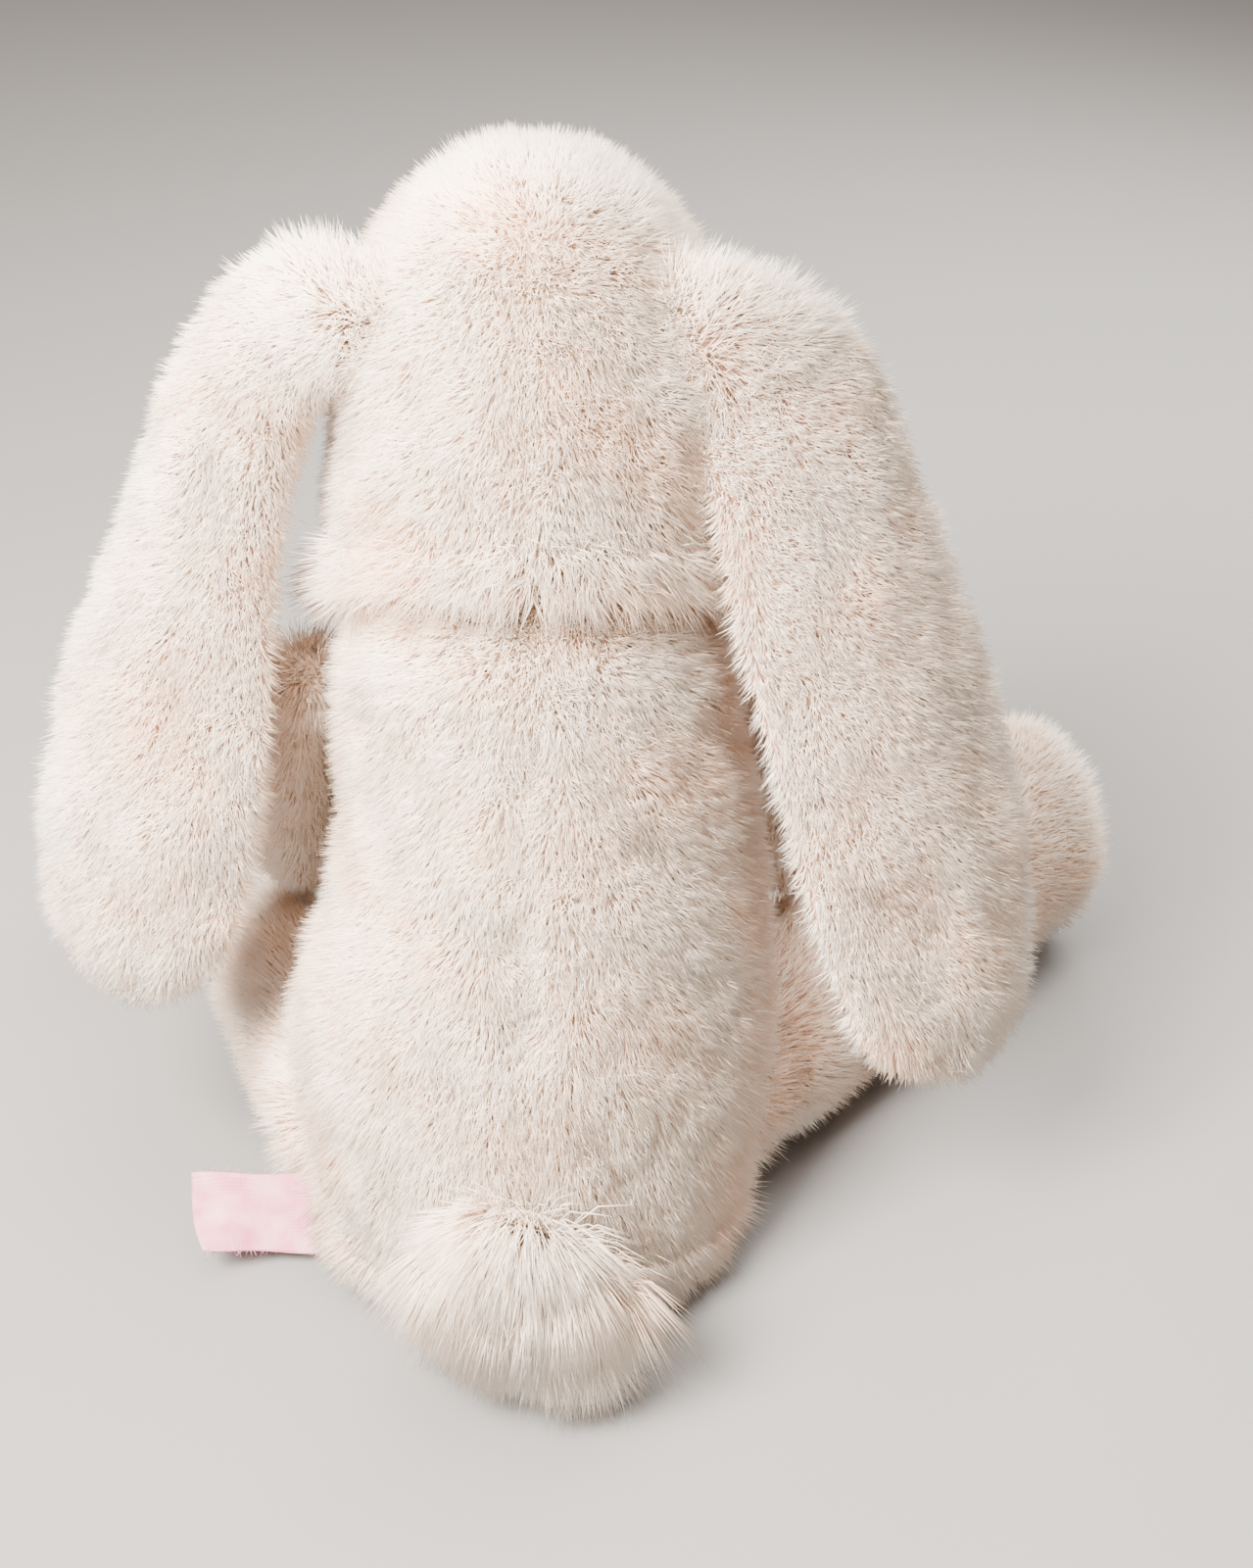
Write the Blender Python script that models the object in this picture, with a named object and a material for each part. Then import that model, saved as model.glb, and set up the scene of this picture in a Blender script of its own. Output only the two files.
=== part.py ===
"""Seated plush lop-eared bunny, made as sewn fabric panels round stuffing.

Row frame: +Z up, the face looks along -Y, +X is the bunny's own left.
The origin is on the flat underside of the seat.  Lengths below are in
millimetres and become metres when a mesh is made.
"""
import math

import bmesh
import bpy
import numpy as np
from mathutils import Matrix, Vector

MM = 0.001

# Pose and layout
LEAN_DEG = 25.0                      # the trunk slumps forward by this much
PELVIS = (0.0, -6.0, 32.0)           # centre of the pelvis above the seat
NECK_HEIGHT = 65.0                   # neck centre above the pelvis, along the trunk
SEAM_HEIGHT = 17.0                   # neck seam above the neck centre
HIP = (29.0, -20.0, 18.5)            # left hip centre
HIP_RADIUS = 16.0
LEG_SPLAY_DEG = {"left": 26.0, "right": 47.0}
SHOULDER = (41.5, -10.0, 65.0)       # left shoulder, in the trunk's frame
SHOULDER_RADIUS = 7.6
TAIL_ROOT = (0.0, 33.5, 20.5)

# Cloth and clearances
CLOTH = 1.5                          # panel thickness with its backing
GAP = 0.3                            # sewn seam, and cloth to stuffing
NECK_GAP = 0.9
HIP_GAP = 3.6
RING = 24                            # facets round the trunk and head

FUR = (0.84, 0.77, 0.70)
LINING = (0.84, 0.58, 0.47)


# ---------------------------------------------------------------- materials
def material(name, colour, roughness, metallic=0.0):
    mat = bpy.data.materials.new(name)
    mat.use_nodes = True
    shader = mat.node_tree.nodes["Principled BSDF"]
    shader.inputs["Base Color"].default_value = (*colour, 1.0)
    shader.inputs["Roughness"].default_value = roughness
    shader.inputs["Metallic"].default_value = metallic
    return mat


# ---------------------------------------------------------------- frames
def empty(name, place, parent=None, turn=(0.0, 0.0, 0.0)):
    """An empty on a joint's centre; its children turn with it."""
    item = bpy.data.objects.new(name, None)
    item.location = [MM * value for value in place]
    item.rotation_euler = turn
    item.parent = parent
    bpy.context.collection.objects.link(item)
    return item


# ---------------------------------------------------------------- surfaces
def through(stations, steps):
    """Catmull-Rom curve through the stations; steps are station numbers."""
    points = np.array(stations, float)
    padded = np.vstack([2 * points[0] - points[1], points, 2 * points[-1] - points[-2]])
    index = np.clip(np.floor(steps).astype(int), 0, len(points) - 2)
    t = (steps - index)[:, None]
    p0, p1, p2, p3 = (padded[index + k] for k in range(4))
    return 0.5 * (2 * p1 + (p2 - p0) * t + (2 * p0 - 5 * p1 + 4 * p2 - p3) * t ** 2
                  + (3 * p1 - p0 - 3 * p2 + p3) * t ** 3)


def rounded_tube(stations, facing, caps, rows, ring, flat=0.0):
    """Rings round a path, closing to round ends.

    A station is x, y, z, half width, half thickness.  facing is the rough
    direction of the thickness.  caps are the lengths of the two round ends,
    and rows the rings in the first end, the middle and the last end.
    flat is the share of the first ring's width that stays flat at the start.
    Returns the rings and the path's points.
    """
    fine = through(stations, np.linspace(0, len(stations) - 1, 200))
    length = np.concatenate([[0], np.cumsum(np.linalg.norm(np.diff(fine[:, :3], axis=0), axis=1))])
    total = length[-1]
    first = np.linspace(0.035, 1, rows[0], endpoint=False) * math.pi / 2
    last = np.linspace(1, 0.035, rows[2]) * math.pi / 2
    along = np.concatenate([
        caps[0] * (1 - np.cos(first)),
        np.linspace(caps[0], total - caps[1], rows[1] + 1, endpoint=False),
        total - caps[1] * (1 - np.cos(last))])
    shrink = np.concatenate([flat + (1 - flat) * np.sin(first), np.ones(rows[1] + 1), np.sin(last)])
    values = np.stack([np.interp(along, length, fine[:, k]) for k in range(5)], axis=1)
    path = values[:, :3]
    tangent = np.gradient(path, along, axis=0)
    tangent /= np.linalg.norm(tangent, axis=1, keepdims=True)
    thick = np.array(facing, float) - tangent * (tangent @ np.array(facing, float))[:, None]
    thick /= np.linalg.norm(thick, axis=1, keepdims=True)
    wide = np.cross(thick, tangent)
    angle = np.arange(ring) * 2 * math.pi / ring
    width = (values[:, 3] * shrink)[:, None, None] * np.cos(angle)[None, :, None]
    depth = (values[:, 4] * shrink)[:, None, None] * np.sin(angle)[None, :, None]
    return path[:, None] + width * wide[:, None] + depth * thick[:, None], path


def inset(rings, amount):
    """The same rings moved inwards along the surface normal."""
    round_ = np.roll(rings, -1, axis=1) - np.roll(rings, 1, axis=1)
    down = np.gradient(rings, axis=0)
    normal = np.cross(round_, down)
    normal /= np.linalg.norm(normal, axis=2, keepdims=True)
    centre = rings.mean(axis=(0, 1))
    outward = np.sign(np.einsum("ijk,ijk->ij", normal, rings - centre).sum())
    return rings - outward * amount * normal


def carved(rings, path, centres, radius):
    """Pull a ring's points towards its path wherever a ball cuts them off."""
    ray = rings - path[:, None]
    reach = np.linalg.norm(ray, axis=2)
    ray = ray / reach[..., None]
    for centre in centres:
        to_ball = np.array(centre) - path[:, None]
        middle = np.einsum("ijk,ijk->ij", ray, np.broadcast_to(to_ball, ray.shape))
        inside = radius ** 2 - (np.einsum("ijk,ijk->ij", to_ball, to_ball) - middle ** 2)
        entry = middle - np.sqrt(np.maximum(inside, 0))
        reach = np.where((inside > 0) & (middle > 0), np.minimum(reach, np.maximum(entry, 2.0)), reach)
    return path[:, None] + ray * reach[..., None]


# ---------------------------------------------------------------- solids
def make(name, points, faces, mat, parent, origin=(0.0, 0.0, 0.0), smooth=True):
    """A closed body, placed under its parent, with its faces pointing out."""
    mesh = bpy.data.meshes.new(name)
    mesh.from_pydata([tuple(MM * (point - np.array(origin))) for point in points], [], faces)
    shell = bmesh.new()
    shell.from_mesh(mesh)
    bmesh.ops.recalc_face_normals(shell, faces=shell.faces)
    shell.to_mesh(mesh)
    shell.free()
    mesh.materials.append(mat)
    if smooth:
        mesh.shade_smooth()
        mesh.set_sharp_from_angle(angle=math.radians(50))
    item = bpy.data.objects.new(name, mesh)
    item.parent = parent
    bpy.context.collection.objects.link(item)
    return item


def grid_faces(rows, columns, start, wrap):
    """Triangles of a rows by columns grid whose first point has number start.

    Every cell is split along the same diagonal, so that grids laid one
    inside the other never cross.
    """
    faces = []
    for i in range(rows - 1):
        for j in range(columns if wrap else columns - 1):
            a, b = start + i * columns + j, start + i * columns + (j + 1) % columns
            faces += [(a, b, b + columns), (a, b + columns, a + columns)]
    return faces


def closed_tube(name, rings, mat, parent, origin):
    """A solid bounded by the rings, with a flat facet at each end."""
    rows, columns, _ = rings.shape
    faces = grid_faces(rows, columns, 0, True)
    faces.append(tuple(range(columns)))
    faces.append(tuple(range((rows - 1) * columns, rows * columns)))
    return make(name, rings.reshape(-1, 3), faces, mat, parent, origin)


def panel(name, outer, inner, mat, parent, origin, wrap=False, shut_start=False, shut_end=False):
    """A cloth panel between an outer and an inner patch of rings.

    shut_start or shut_end closes a patch that runs all round and reaches
    the end of its tube.  Every other border gets a narrow wall.
    """
    rows, columns, _ = outer.shape
    count = rows * columns
    faces = grid_faces(rows, columns, 0, wrap)
    faces += [tuple(reversed(face)) for face in grid_faces(rows, columns, count, wrap)]
    edges = columns if wrap else columns - 1
    for row, shut in ((0, shut_start), (rows - 1, shut_end)):
        base = row * columns
        if shut:
            faces.append(tuple(base + j for j in range(columns)))
            faces.append(tuple(count + base + j for j in range(columns)))
            continue
        for j in range(edges):
            a, b = base + j, base + (j + 1) % columns
            faces.append((a, b, count + b, count + a))
    if not wrap:
        for j in (0, columns - 1):
            for i in range(rows - 1):
                a, b = i * columns + j, (i + 1) * columns + j
                faces.append((a, b, count + b, count + a))
    points = np.concatenate([outer.reshape(-1, 3), inner.reshape(-1, 3)])
    return make(name, points, faces, mat, parent, origin)


def cut_out(grid, rows, columns, trim):
    """The part of a ring grid between two rows and two columns, trimmed for its seams."""
    total = grid.shape[1]
    count = (columns[1] - columns[0]) % total
    wrap = count == 0
    pick = (columns[0] + np.arange(total if wrap else count + 1)) % total
    patch = grid[rows[0]:rows[1] + 1][:, pick].copy()

    def towards(edge, inner):
        step = inner - edge
        size = np.linalg.norm(step, axis=-1, keepdims=True)
        return edge + step / size * np.minimum(trim, size / 3)

    if not wrap:
        patch[:, 0] = towards(patch[:, 0], patch[:, 1])
        patch[:, -1] = towards(patch[:, -1], patch[:, -2])
    if rows[0] > 0:
        patch[0] = towards(patch[0], patch[1])
    if rows[1] < grid.shape[0] - 1:
        patch[-1] = towards(patch[-1], patch[-2])
    return patch, wrap


def sewn(name, outer, inner, rows, columns, mat, parent, origin, trim=GAP / 2, **ends):
    patch, wrap = cut_out(outer, rows, columns, trim)
    backing, _ = cut_out(inner, rows, columns, trim)
    return panel(name, patch, backing, mat, parent, origin, wrap=wrap, **ends)


# ---------------------------------------------------------------- trunk
def leaning(height, back=0.0):
    """A point of the leaning trunk's middle plane, in the row frame."""
    lean = math.radians(LEAN_DEG)
    return (0.0, PELVIS[1] - height * math.sin(lean) + back * math.cos(lean),
            PELVIS[2] + height * math.cos(lean) + back * math.sin(lean))


# The trunk stands upright on its seat and bends into its lean.
TRUNK = [(0, 1.5, 0, 32, 28), (0, 1.5, 12, 35.5, 30.5), (*leaning(3), 37.5, 33.5), (*leaning(25), 37, 33),
         (*leaning(45), 35, 32), (*leaning(NECK_HEIGHT), 34, 31), (*leaning(NECK_HEIGHT + 31), 34, 31)]
TRUNK_CAPS = (9, 31)                 # rounding at the seat, and the ball under the head
SEAT_FLAT = 0.55                     # share of the seat's width that is flat
SEAT_ROWS, POUCH_ROWS = 4, 7
SLANT = 1.4                          # the hollow widens this much per millimetre of depth
SEAT_TRIM = 0.3                      # the seat's seam is trimmed more, where the hip hollows cross it


def trunk_grid(extra):
    rings, path = rounded_tube(TRUNK, (0, 1, 0), TRUNK_CAPS, (5, 8, 5), RING, flat=SEAT_FLAT)
    if extra:
        rings = inset(rings, extra)
    rings[0, :, 2] = extra
    rings[..., 2] = np.maximum(rings[..., 2], extra)
    hips = [(side * HIP[0], HIP[1], HIP[2]) for side in (1, -1)]
    # A panel is cut at a slant round the hips, so its layers need more room there.
    return carved(rings, path, hips, HIP_RADIUS + HIP_GAP + SLANT * extra)


def trunk(mats):
    outer, inner, core = trunk_grid(0), trunk_grid(CLOTH), trunk_grid(CLOTH + 2 * GAP)
    quarter = RING // 4
    here = (0, 0, 0)
    sewn("seat_panel", outer, inner, (0, SEAT_ROWS), (0, 0), mats["fur"], None, here, SEAT_TRIM,
         shut_start=True)
    top = (SEAT_ROWS, outer.shape[0] - 1)
    sewn("back_left_panel", outer, inner, top, (0, quarter), mats["fur"], None, here)
    sewn("back_right_panel", outer, inner, top, (quarter, 2 * quarter), mats["fur"], None, here)
    sewn("belly_panel", outer, inner, top, (2 * quarter, 0), mats["fur"], None, here)
    # The lowest rings of the filling are the pouch of pellets, the rest is fibre.
    closed_tube("pellet_pouch", core[:POUCH_ROWS + 1], mats["pouch"], None, here)
    fibre = core[POUCH_ROWS:].copy()
    step = fibre[1] - fibre[0]
    fibre[0] += step * 3 * GAP / np.linalg.norm(step, axis=1, keepdims=True)
    closed_tube("body_stuffing", fibre, mats["fibre"], None, here)


# ---------------------------------------------------------------- head
HEAD_PROFILE = [(17.0, 31, 29.5), (24, 33, 31.5), (38, 33.5, 33.5), (52, 31.5, 33), (68, 30, 32),
                (94.5, 30, 32)]
CROWN_CAP = 28                       # length of the rounded crown
NOSE_HEIGHT = 52.0
EYE_HEIGHT = 64.0


def muzzle(rings):
    """Push the lower face forward into a soft snout with full cheeks."""
    x, y, z = rings[..., 0], rings[..., 1], rings[..., 2]
    front = np.clip(-y / 20, 0, 1)
    push = 9.0 * np.exp(-(x / 16) ** 2 - ((z - NOSE_HEIGHT + 4) / 15) ** 2) * front
    cheek = 2.0 * np.exp(-((np.abs(x) - 24) / 12) ** 2 - ((z - 40) / 14) ** 2) * front
    swollen = rings.copy()
    swollen[..., 1] -= push + cheek
    return swollen


def head_grid(extra):
    """Rings from the neck seam to the crown, in the head's frame."""
    stations = [(0, 0, z, w, d) for z, w, d in HEAD_PROFILE]
    rings, _ = rounded_tube(stations, (0, 1, 0), (0.01, CROWN_CAP), (1, 7, 7), RING)
    rings = muzzle(rings[1:])
    return inset(rings, extra) if extra else rings


def neck_socket(gap):
    """Rings of the hollow over the neck, from its top down to the seam."""
    radius, width = 31.0 + gap, 34.0 + gap
    turn = np.linspace(0.04, math.acos((SEAM_HEIGHT + 1.5) / radius), 6)
    angle = np.arange(RING) * 2 * math.pi / RING
    x = width * np.sin(turn)[:, None] * np.cos(angle)
    y = radius * np.sin(turn)[:, None] * np.sin(angle)
    z = np.broadcast_to(radius * np.cos(turn)[:, None], x.shape)
    return np.stack([x, y, z], axis=2)


def stem_cutter(name, place, direction, radius, depth, parent):
    """A round cutter whose middle is at place, for a Boolean."""
    mesh = bpy.data.meshes.new(name)
    tool = bmesh.new()
    bmesh.ops.create_cone(tool, cap_ends=True, segments=16, radius1=MM * radius, radius2=MM * radius,
                          depth=MM * depth)
    turn = Vector((0, 0, 1)).rotation_difference(Vector(direction)).to_matrix().to_4x4()
    bmesh.ops.transform(tool, matrix=Matrix.Translation(MM * Vector(place)) @ turn, verts=tool.verts)
    tool.to_mesh(mesh)
    tool.free()
    item = bpy.data.objects.new(name, mesh)
    item.hide_render = True
    item.display_type = "WIRE"
    item.parent = parent
    bpy.context.collection.objects.link(item)
    return item


def subtract(item, tool):
    cut = item.modifiers.new("hole", "BOOLEAN")
    cut.operation = "DIFFERENCE"
    cut.solver = "EXACT"
    cut.object = tool


def turned(name, profile, place, direction, mat, parent, segments=18):
    """A solid turned from (radius, height) points, its axis along direction."""
    points, faces = [], []
    turn = np.array(Vector((0, 0, 1)).rotation_difference(Vector(direction)).to_matrix())
    angle = np.arange(segments) * 2 * math.pi / segments
    for radius, height in profile:
        ring = np.stack([radius * np.cos(angle), radius * np.sin(angle), np.full(segments, height)], axis=1)
        points.append(ring @ turn.T + np.array(place))
    faces = grid_faces(len(profile), segments, 0, True)
    faces.append(tuple(range(segments)))
    faces.append(tuple(range((len(profile) - 1) * segments, len(profile) * segments)))
    return make(name, np.concatenate(points), faces, mat, parent)


def face_point(outer, x, z):
    """The front surface's point and outward normal at a width and height."""
    front = outer[:, RING // 2:].reshape(-1, 3)
    near = np.argsort((front[:, 0] - x) ** 2 + (front[:, 2] - z) ** 2)[:4]
    weight = 1 / (0.2 + (front[near, 0] - x) ** 2 + (front[near, 2] - z) ** 2)
    y = (front[near, 1] * weight).sum() / weight.sum()
    direction = np.array([x / 34 ** 2, y / 36 ** 2, (z - 50) / 42 ** 2])
    return np.array([x, y, z]), direction / np.linalg.norm(direction)


EYE_RADIUS, EYE_STEM, WASHER_RADIUS = 4.6, 1.6, 6.0
EYE_SPACING = 16.0                   # each eye from the middle
STEM_END, WASHER_TOP, WASHER_DEPTH = -7.0, -5.5, 1.2
NOSE_WIDTH, NOSE_RISE = 4.6, 3.2     # half sizes of the nose pad
NOSE_PROFILE = ((0.55, 1.0), (1.0, 1.4), (1.0, 2.1), (0.8, 3.3), (0.35, 3.9))


def nose(spot, out, mat, frame):
    """A padded nose, wider at its top edge, lying on the gusset."""
    angle = np.arange(12) * 2 * math.pi / 12
    wide = NOSE_WIDTH * (1 + 0.28 * np.sin(angle)) * np.cos(angle)
    rise = NOSE_RISE * np.sin(angle)
    side_way = np.array([1.0, 0.0, 0.0])
    up_way = np.cross(out, side_way)
    up_way *= np.sign(up_way[2]) / np.linalg.norm(up_way)
    rings = [spot + height * out + scale * (wide[:, None] * side_way + rise[:, None] * up_way)
             for scale, height in NOSE_PROFILE]
    closed_tube("nose", np.array(rings), mat, frame, (0, 0, 0))


def head(mats, frame):
    outer, inner, core = head_grid(0), head_grid(CLOTH), head_grid(CLOTH + GAP)
    rows = (0, outer.shape[0] - 1)
    half, side = RING // 2, RING // 4
    front = half + side
    left = sewn("head_left_panel", outer, inner, rows, (front + 1, side), mats["fur"], frame, (0, 0, 0))
    right = sewn("head_right_panel", outer, inner, rows, (side, front - 1), mats["fur"], frame, (0, 0, 0))
    sewn("head_gusset", outer, inner, rows, (front - 1, front + 1), mats["fur"], frame, (0, 0, 0))
    filling = np.concatenate([neck_socket(NECK_GAP), core[2:]])
    stuffing = closed_tube("head_stuffing", filling, mats["fibre"], frame, (0, 0, 0))

    for name, x, shell in (("left", EYE_SPACING, left), ("right", -EYE_SPACING, right)):
        spot, out = face_point(outer, x, EYE_HEIGHT)
        profile = [(EYE_STEM, STEM_END), (EYE_STEM, 1.3), (EYE_RADIUS - 0.6, 1.3), (EYE_RADIUS, 2.0),
                   (EYE_RADIUS * 0.86, 3.6), (EYE_RADIUS * 0.55, 4.7), (0.6, 5.1)]
        turned(f"eye_{name}", profile, spot, out, mats["bead"], frame)
        washer = [(WASHER_RADIUS, WASHER_TOP - WASHER_DEPTH), (WASHER_RADIUS, WASHER_TOP),
                  (1.0, WASHER_TOP), (1.0, WASHER_TOP - WASHER_DEPTH)]
        ring = turned(f"eye_washer_{name}", washer, spot, out, mats["washer"], frame)
        bore = stem_cutter(f"eye_bore_{name}", spot, out, EYE_STEM + GAP, 24, frame)
        pocket = stem_cutter(f"eye_pocket_{name}", spot - 5.0 * out, out, WASHER_RADIUS + 0.5, 10, frame)
        subtract(ring, bore)
        subtract(shell, bore)
        subtract(stuffing, pocket)

    spot, out = face_point(outer, 0.0, NOSE_HEIGHT)
    nose(spot, out, mats["nose"], frame)


# ---------------------------------------------------------------- ears
# Stations are in the head's frame.  The two ears hang differently, so each has its own.
# Each ear lifts about the top corner of its root, its hinge.
EARS = {
    "left": {"hinge": (30.5, 18.5, 76.5), "facing": (0.2, 1.0, 0.0), "stations": [
        (30.5, 18.5, 67, 10, 5), (35, 17, 67, 11, 5), (41, 14.5, 64, 11.5, 5), (48.5, 13, 53, 11, 5),
        (53.5, 12, 38, 11.5, 5), (58.5, 11, 20, 13.5, 5), (62.5, 10.5, 2, 16.2, 5),
        (65, 10.5, -15, 17, 5), (67, 10.5, -33, 15.5, 5), (69.5, 10.5, -51, 12.5, 5)]},
    "right": {"hinge": (-31.0, 21.5, 76.5), "facing": (-0.45, 1.0, 0.0), "stations": [
        (-31, 21.5, 66, 11, 5), (-35, 20, 63, 14, 5), (-39, 18, 57, 16, 5), (-43, 17.5, 48, 16.5, 5),
        (-47.5, 16.5, 34, 17.5, 5), (-52, 16, 18.5, 19.2, 5), (-57, 15, 2.5, 20, 5),
        (-61.8, 14, -14.5, 20, 5), (-65.5, 13.5, -31.5, 19.3, 5), (-68.5, 13, -46, 17.5, 5),
        (-72.5, 12.5, -65, 14, 5)]},
}
EAR_RING = 20
EAR_EDGE = 1.2                       # thickness of one layer at the sewn edge


def ear(side, mats, pivot):
    spec = EARS[side]
    rings, path = rounded_tube(spec["stations"], spec["facing"], (6, 15), (3, 9, 4), EAR_RING)
    # Each ear is two layers sewn edge to edge, meeting on the middle surface.
    along = np.gradient(path, axis=0)
    facing = np.array(spec["facing"])
    thick = facing - along * ((along @ facing) / (along ** 2).sum(axis=1))[:, None]
    thick /= np.linalg.norm(thick, axis=1, keepdims=True)
    height = np.einsum("ijk,ik->ij", rings - path[:, None], thick)
    flat = rings - height[..., None] * thick[:, None]
    for layer, first, way, mat in (("outer", 0, 1, "fur"), ("lining", EAR_RING // 2, -1, "lining")):
        pick = (first + np.arange(EAR_RING // 2 + 1)) % EAR_RING
        depth = np.maximum(way * height[:, pick] + GAP / 2, EAR_EDGE)
        back = flat[:, pick] + way * GAP / 2 * thick[:, None]
        face = back + way * depth[..., None] * thick[:, None]
        panel(f"ear_{side}_{layer}", face, back, mats[mat], pivot, spec["hinge"])


# ---------------------------------------------------------------- arms and legs
def limb(name, stations, facing, caps, rows, ring, split, mats, pivot, origin, sole=0):
    """Two half panels round a stuffing core, with an optional sole on the far end."""
    outer, path = rounded_tube(stations, facing, caps, rows, ring)
    inner = inset(outer, CLOTH)
    core = inset(outer, CLOTH + 2 * GAP)
    last = outer.shape[0] - 1
    half = ring // 2
    sides = (0, last - sole)
    sewn(f"{name}_{split[0]}", outer, inner, sides, (ring // 4 * 3, ring // 4), mats["fur"], pivot, origin)
    sewn(f"{name}_{split[1]}", outer, inner, sides, (ring // 4, ring // 4 + half), mats["fur"], pivot, origin)
    if sole:
        sewn(f"{name}_sole", outer, inner, (last - sole, last), (0, 0), mats["lining"], pivot, origin,
             shut_end=True)
    closed_tube(f"{name}_stuffing", core, mats["fibre"], pivot, origin)


# Stations are distance from the joint, half width and half thickness.
ARM = ((-SHOULDER_RADIUS, SHOULDER_RADIUS, SHOULDER_RADIUS), (0, SHOULDER_RADIUS, SHOULDER_RADIUS),
       (16, 8.6, 8.2), (32, 9.6, 8.8), (46, 9.6, 8.8))
ARM_DROP = (0.10, -0.62, -0.78)      # the arm's direction, in the trunk's frame
PAW_CAP = 9.5


def arm(side, mats, frame):
    way = 1 if side == "left" else -1
    x, y, z = SHOULDER
    stations = [(way * (x + ARM_DROP[0] * max(s, 0)), y + ARM_DROP[1] * s, z + ARM_DROP[2] * s, w, d)
                for s, w, d in ARM]
    pivot = empty(f"arm_{side}_pivot", (way * x, y, z), frame)
    limb(f"arm_{side}", stations, (0, -1, 0), (SHOULDER_RADIUS, PAW_CAP), (3, 4, 4), 12, ("outer", "inner"),
         mats, pivot, (way * x, y, z))


# Stations are distance from the hip, half width, half height and height of the middle.
LEG = ((-HIP_RADIUS, 16, 16, 18.5), (0, 16, 16, 18.5), (18, 18, 18, 18.5), (42, 16.5, 16.5, 17),
       (66, 14.5, 14.5, 15), (80, 16, 20, 20.5), (92, 17.5, 23.5, 25), (106, 17.5, 23.5, 26))
TOE_CAP, SOLE_ROWS = 13, 3


def leg(side, mats):
    way = 1 if side == "left" else -1
    splay = math.radians(LEG_SPLAY_DEG[side])
    hip = (way * HIP[0], HIP[1], HIP[2])
    stations = [(hip[0] + way * math.sin(splay) * s, hip[1] - math.cos(splay) * s, height, w, h)
                for s, w, h, height in LEG]
    pivot = empty(f"leg_{side}_pivot", hip)
    limb(f"leg_{side}", stations, (0, 0, 1), (HIP_RADIUS, TOE_CAP), (4, 6, 5), 16, ("outer", "inner"),
         mats, pivot, hip, sole=SOLE_ROWS)


# ---------------------------------------------------------------- tail and tag
def tail(mats):
    x, y, z = TAIL_ROOT
    stations = [(x, y, z, 15, 12), (x, y + 5, z - 1, 20.5, 15.5), (x, y + 13, z - 2, 23, 17.5),
                (x, y + 25, z - 3, 20, 15.5)]
    rings, _ = rounded_tube(stations, (0, 0, 1), (5, 12), (3, 3, 4), 16)
    inner = inset(rings, CLOTH)
    core = inset(rings, CLOTH + GAP)
    pivot = empty("tail_pivot", TAIL_ROOT)
    last = rings.shape[0] - 1
    sewn("tail_cover", rings, inner, (1, last), (0, 0), mats["fur"], pivot, TAIL_ROOT, shut_end=True)
    closed_tube("tail_stuffing", core, mats["fibre"], pivot, TAIL_ROOT)


TAG = {"root": (36.5, 9.0, 7.5), "length": 26.0, "width": 14.0, "thickness": 0.9, "wave": 0.8,
       "along": (1.0, 0.0, 0.0), "across": (0.0, -0.74, 0.67)}


def seam_tag(mats):
    """A folded ribbon caught in the left seat seam, as one gently waved strip."""
    along = np.array(TAG["along"])
    across = np.array(TAG["across"])
    across = across - along * (across @ along) / (along @ along)
    across /= np.linalg.norm(across)
    normal = np.cross(along, across)
    normal /= np.linalg.norm(normal)
    s = np.linspace(0, TAG["length"], 7)
    wave = TAG["wave"] * np.sin(s / TAG["length"] * 2 * math.pi)
    root = np.array(TAG["root"])
    rings = []
    for distance, rise in zip(s, wave):
        middle = root + along * distance + normal * rise
        half, thin = TAG["width"] / 2, TAG["thickness"] / 2
        rings.append([middle + across * half + normal * thin, middle - across * half + normal * thin,
                      middle - across * half - normal * thin, middle + across * half - normal * thin])
    pivot = empty("seam_tag_pivot", TAG["root"])
    closed_tube("seam_tag", np.array(rings), mats["ribbon"], pivot, TAG["root"])


# ---------------------------------------------------------------- model
def build():
    for item in list(bpy.data.objects):
        bpy.data.objects.remove(item, do_unlink=True)
    mats = {
        "fur": material("cream_plush", FUR, 0.95),
        "lining": material("peach_velour", LINING, 0.9),
        "fibre": material("white_fibrefill", (0.9, 0.9, 0.9), 1.0),
        "pouch": material("pellet_pouch", (0.8, 0.8, 0.78), 0.9),
        "bead": material("black_bead", (0.01, 0.008, 0.008), 0.08),
        "washer": material("white_washer", (0.85, 0.85, 0.85), 0.5),
        "nose": material("pink_nose", (0.78, 0.36, 0.36), 0.6),
        "ribbon": material("pink_ribbon", (0.86, 0.6, 0.62), 0.6),
    }
    lean = math.radians(LEAN_DEG)
    body = empty("trunk_frame", PELVIS, turn=(lean, 0.0, 0.0))
    trunk(mats)
    neck = empty("head_pivot", (0.0, 0.0, NECK_HEIGHT), body)
    head(mats, neck)
    for side in ("left", "right"):
        ear(side, mats, empty(f"ear_{side}_pivot", EARS[side]["hinge"], neck))
        arm(side, mats, body)
        leg(side, mats)
    tail(mats)
    seam_tag(mats)


build()
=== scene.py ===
import math

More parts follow.
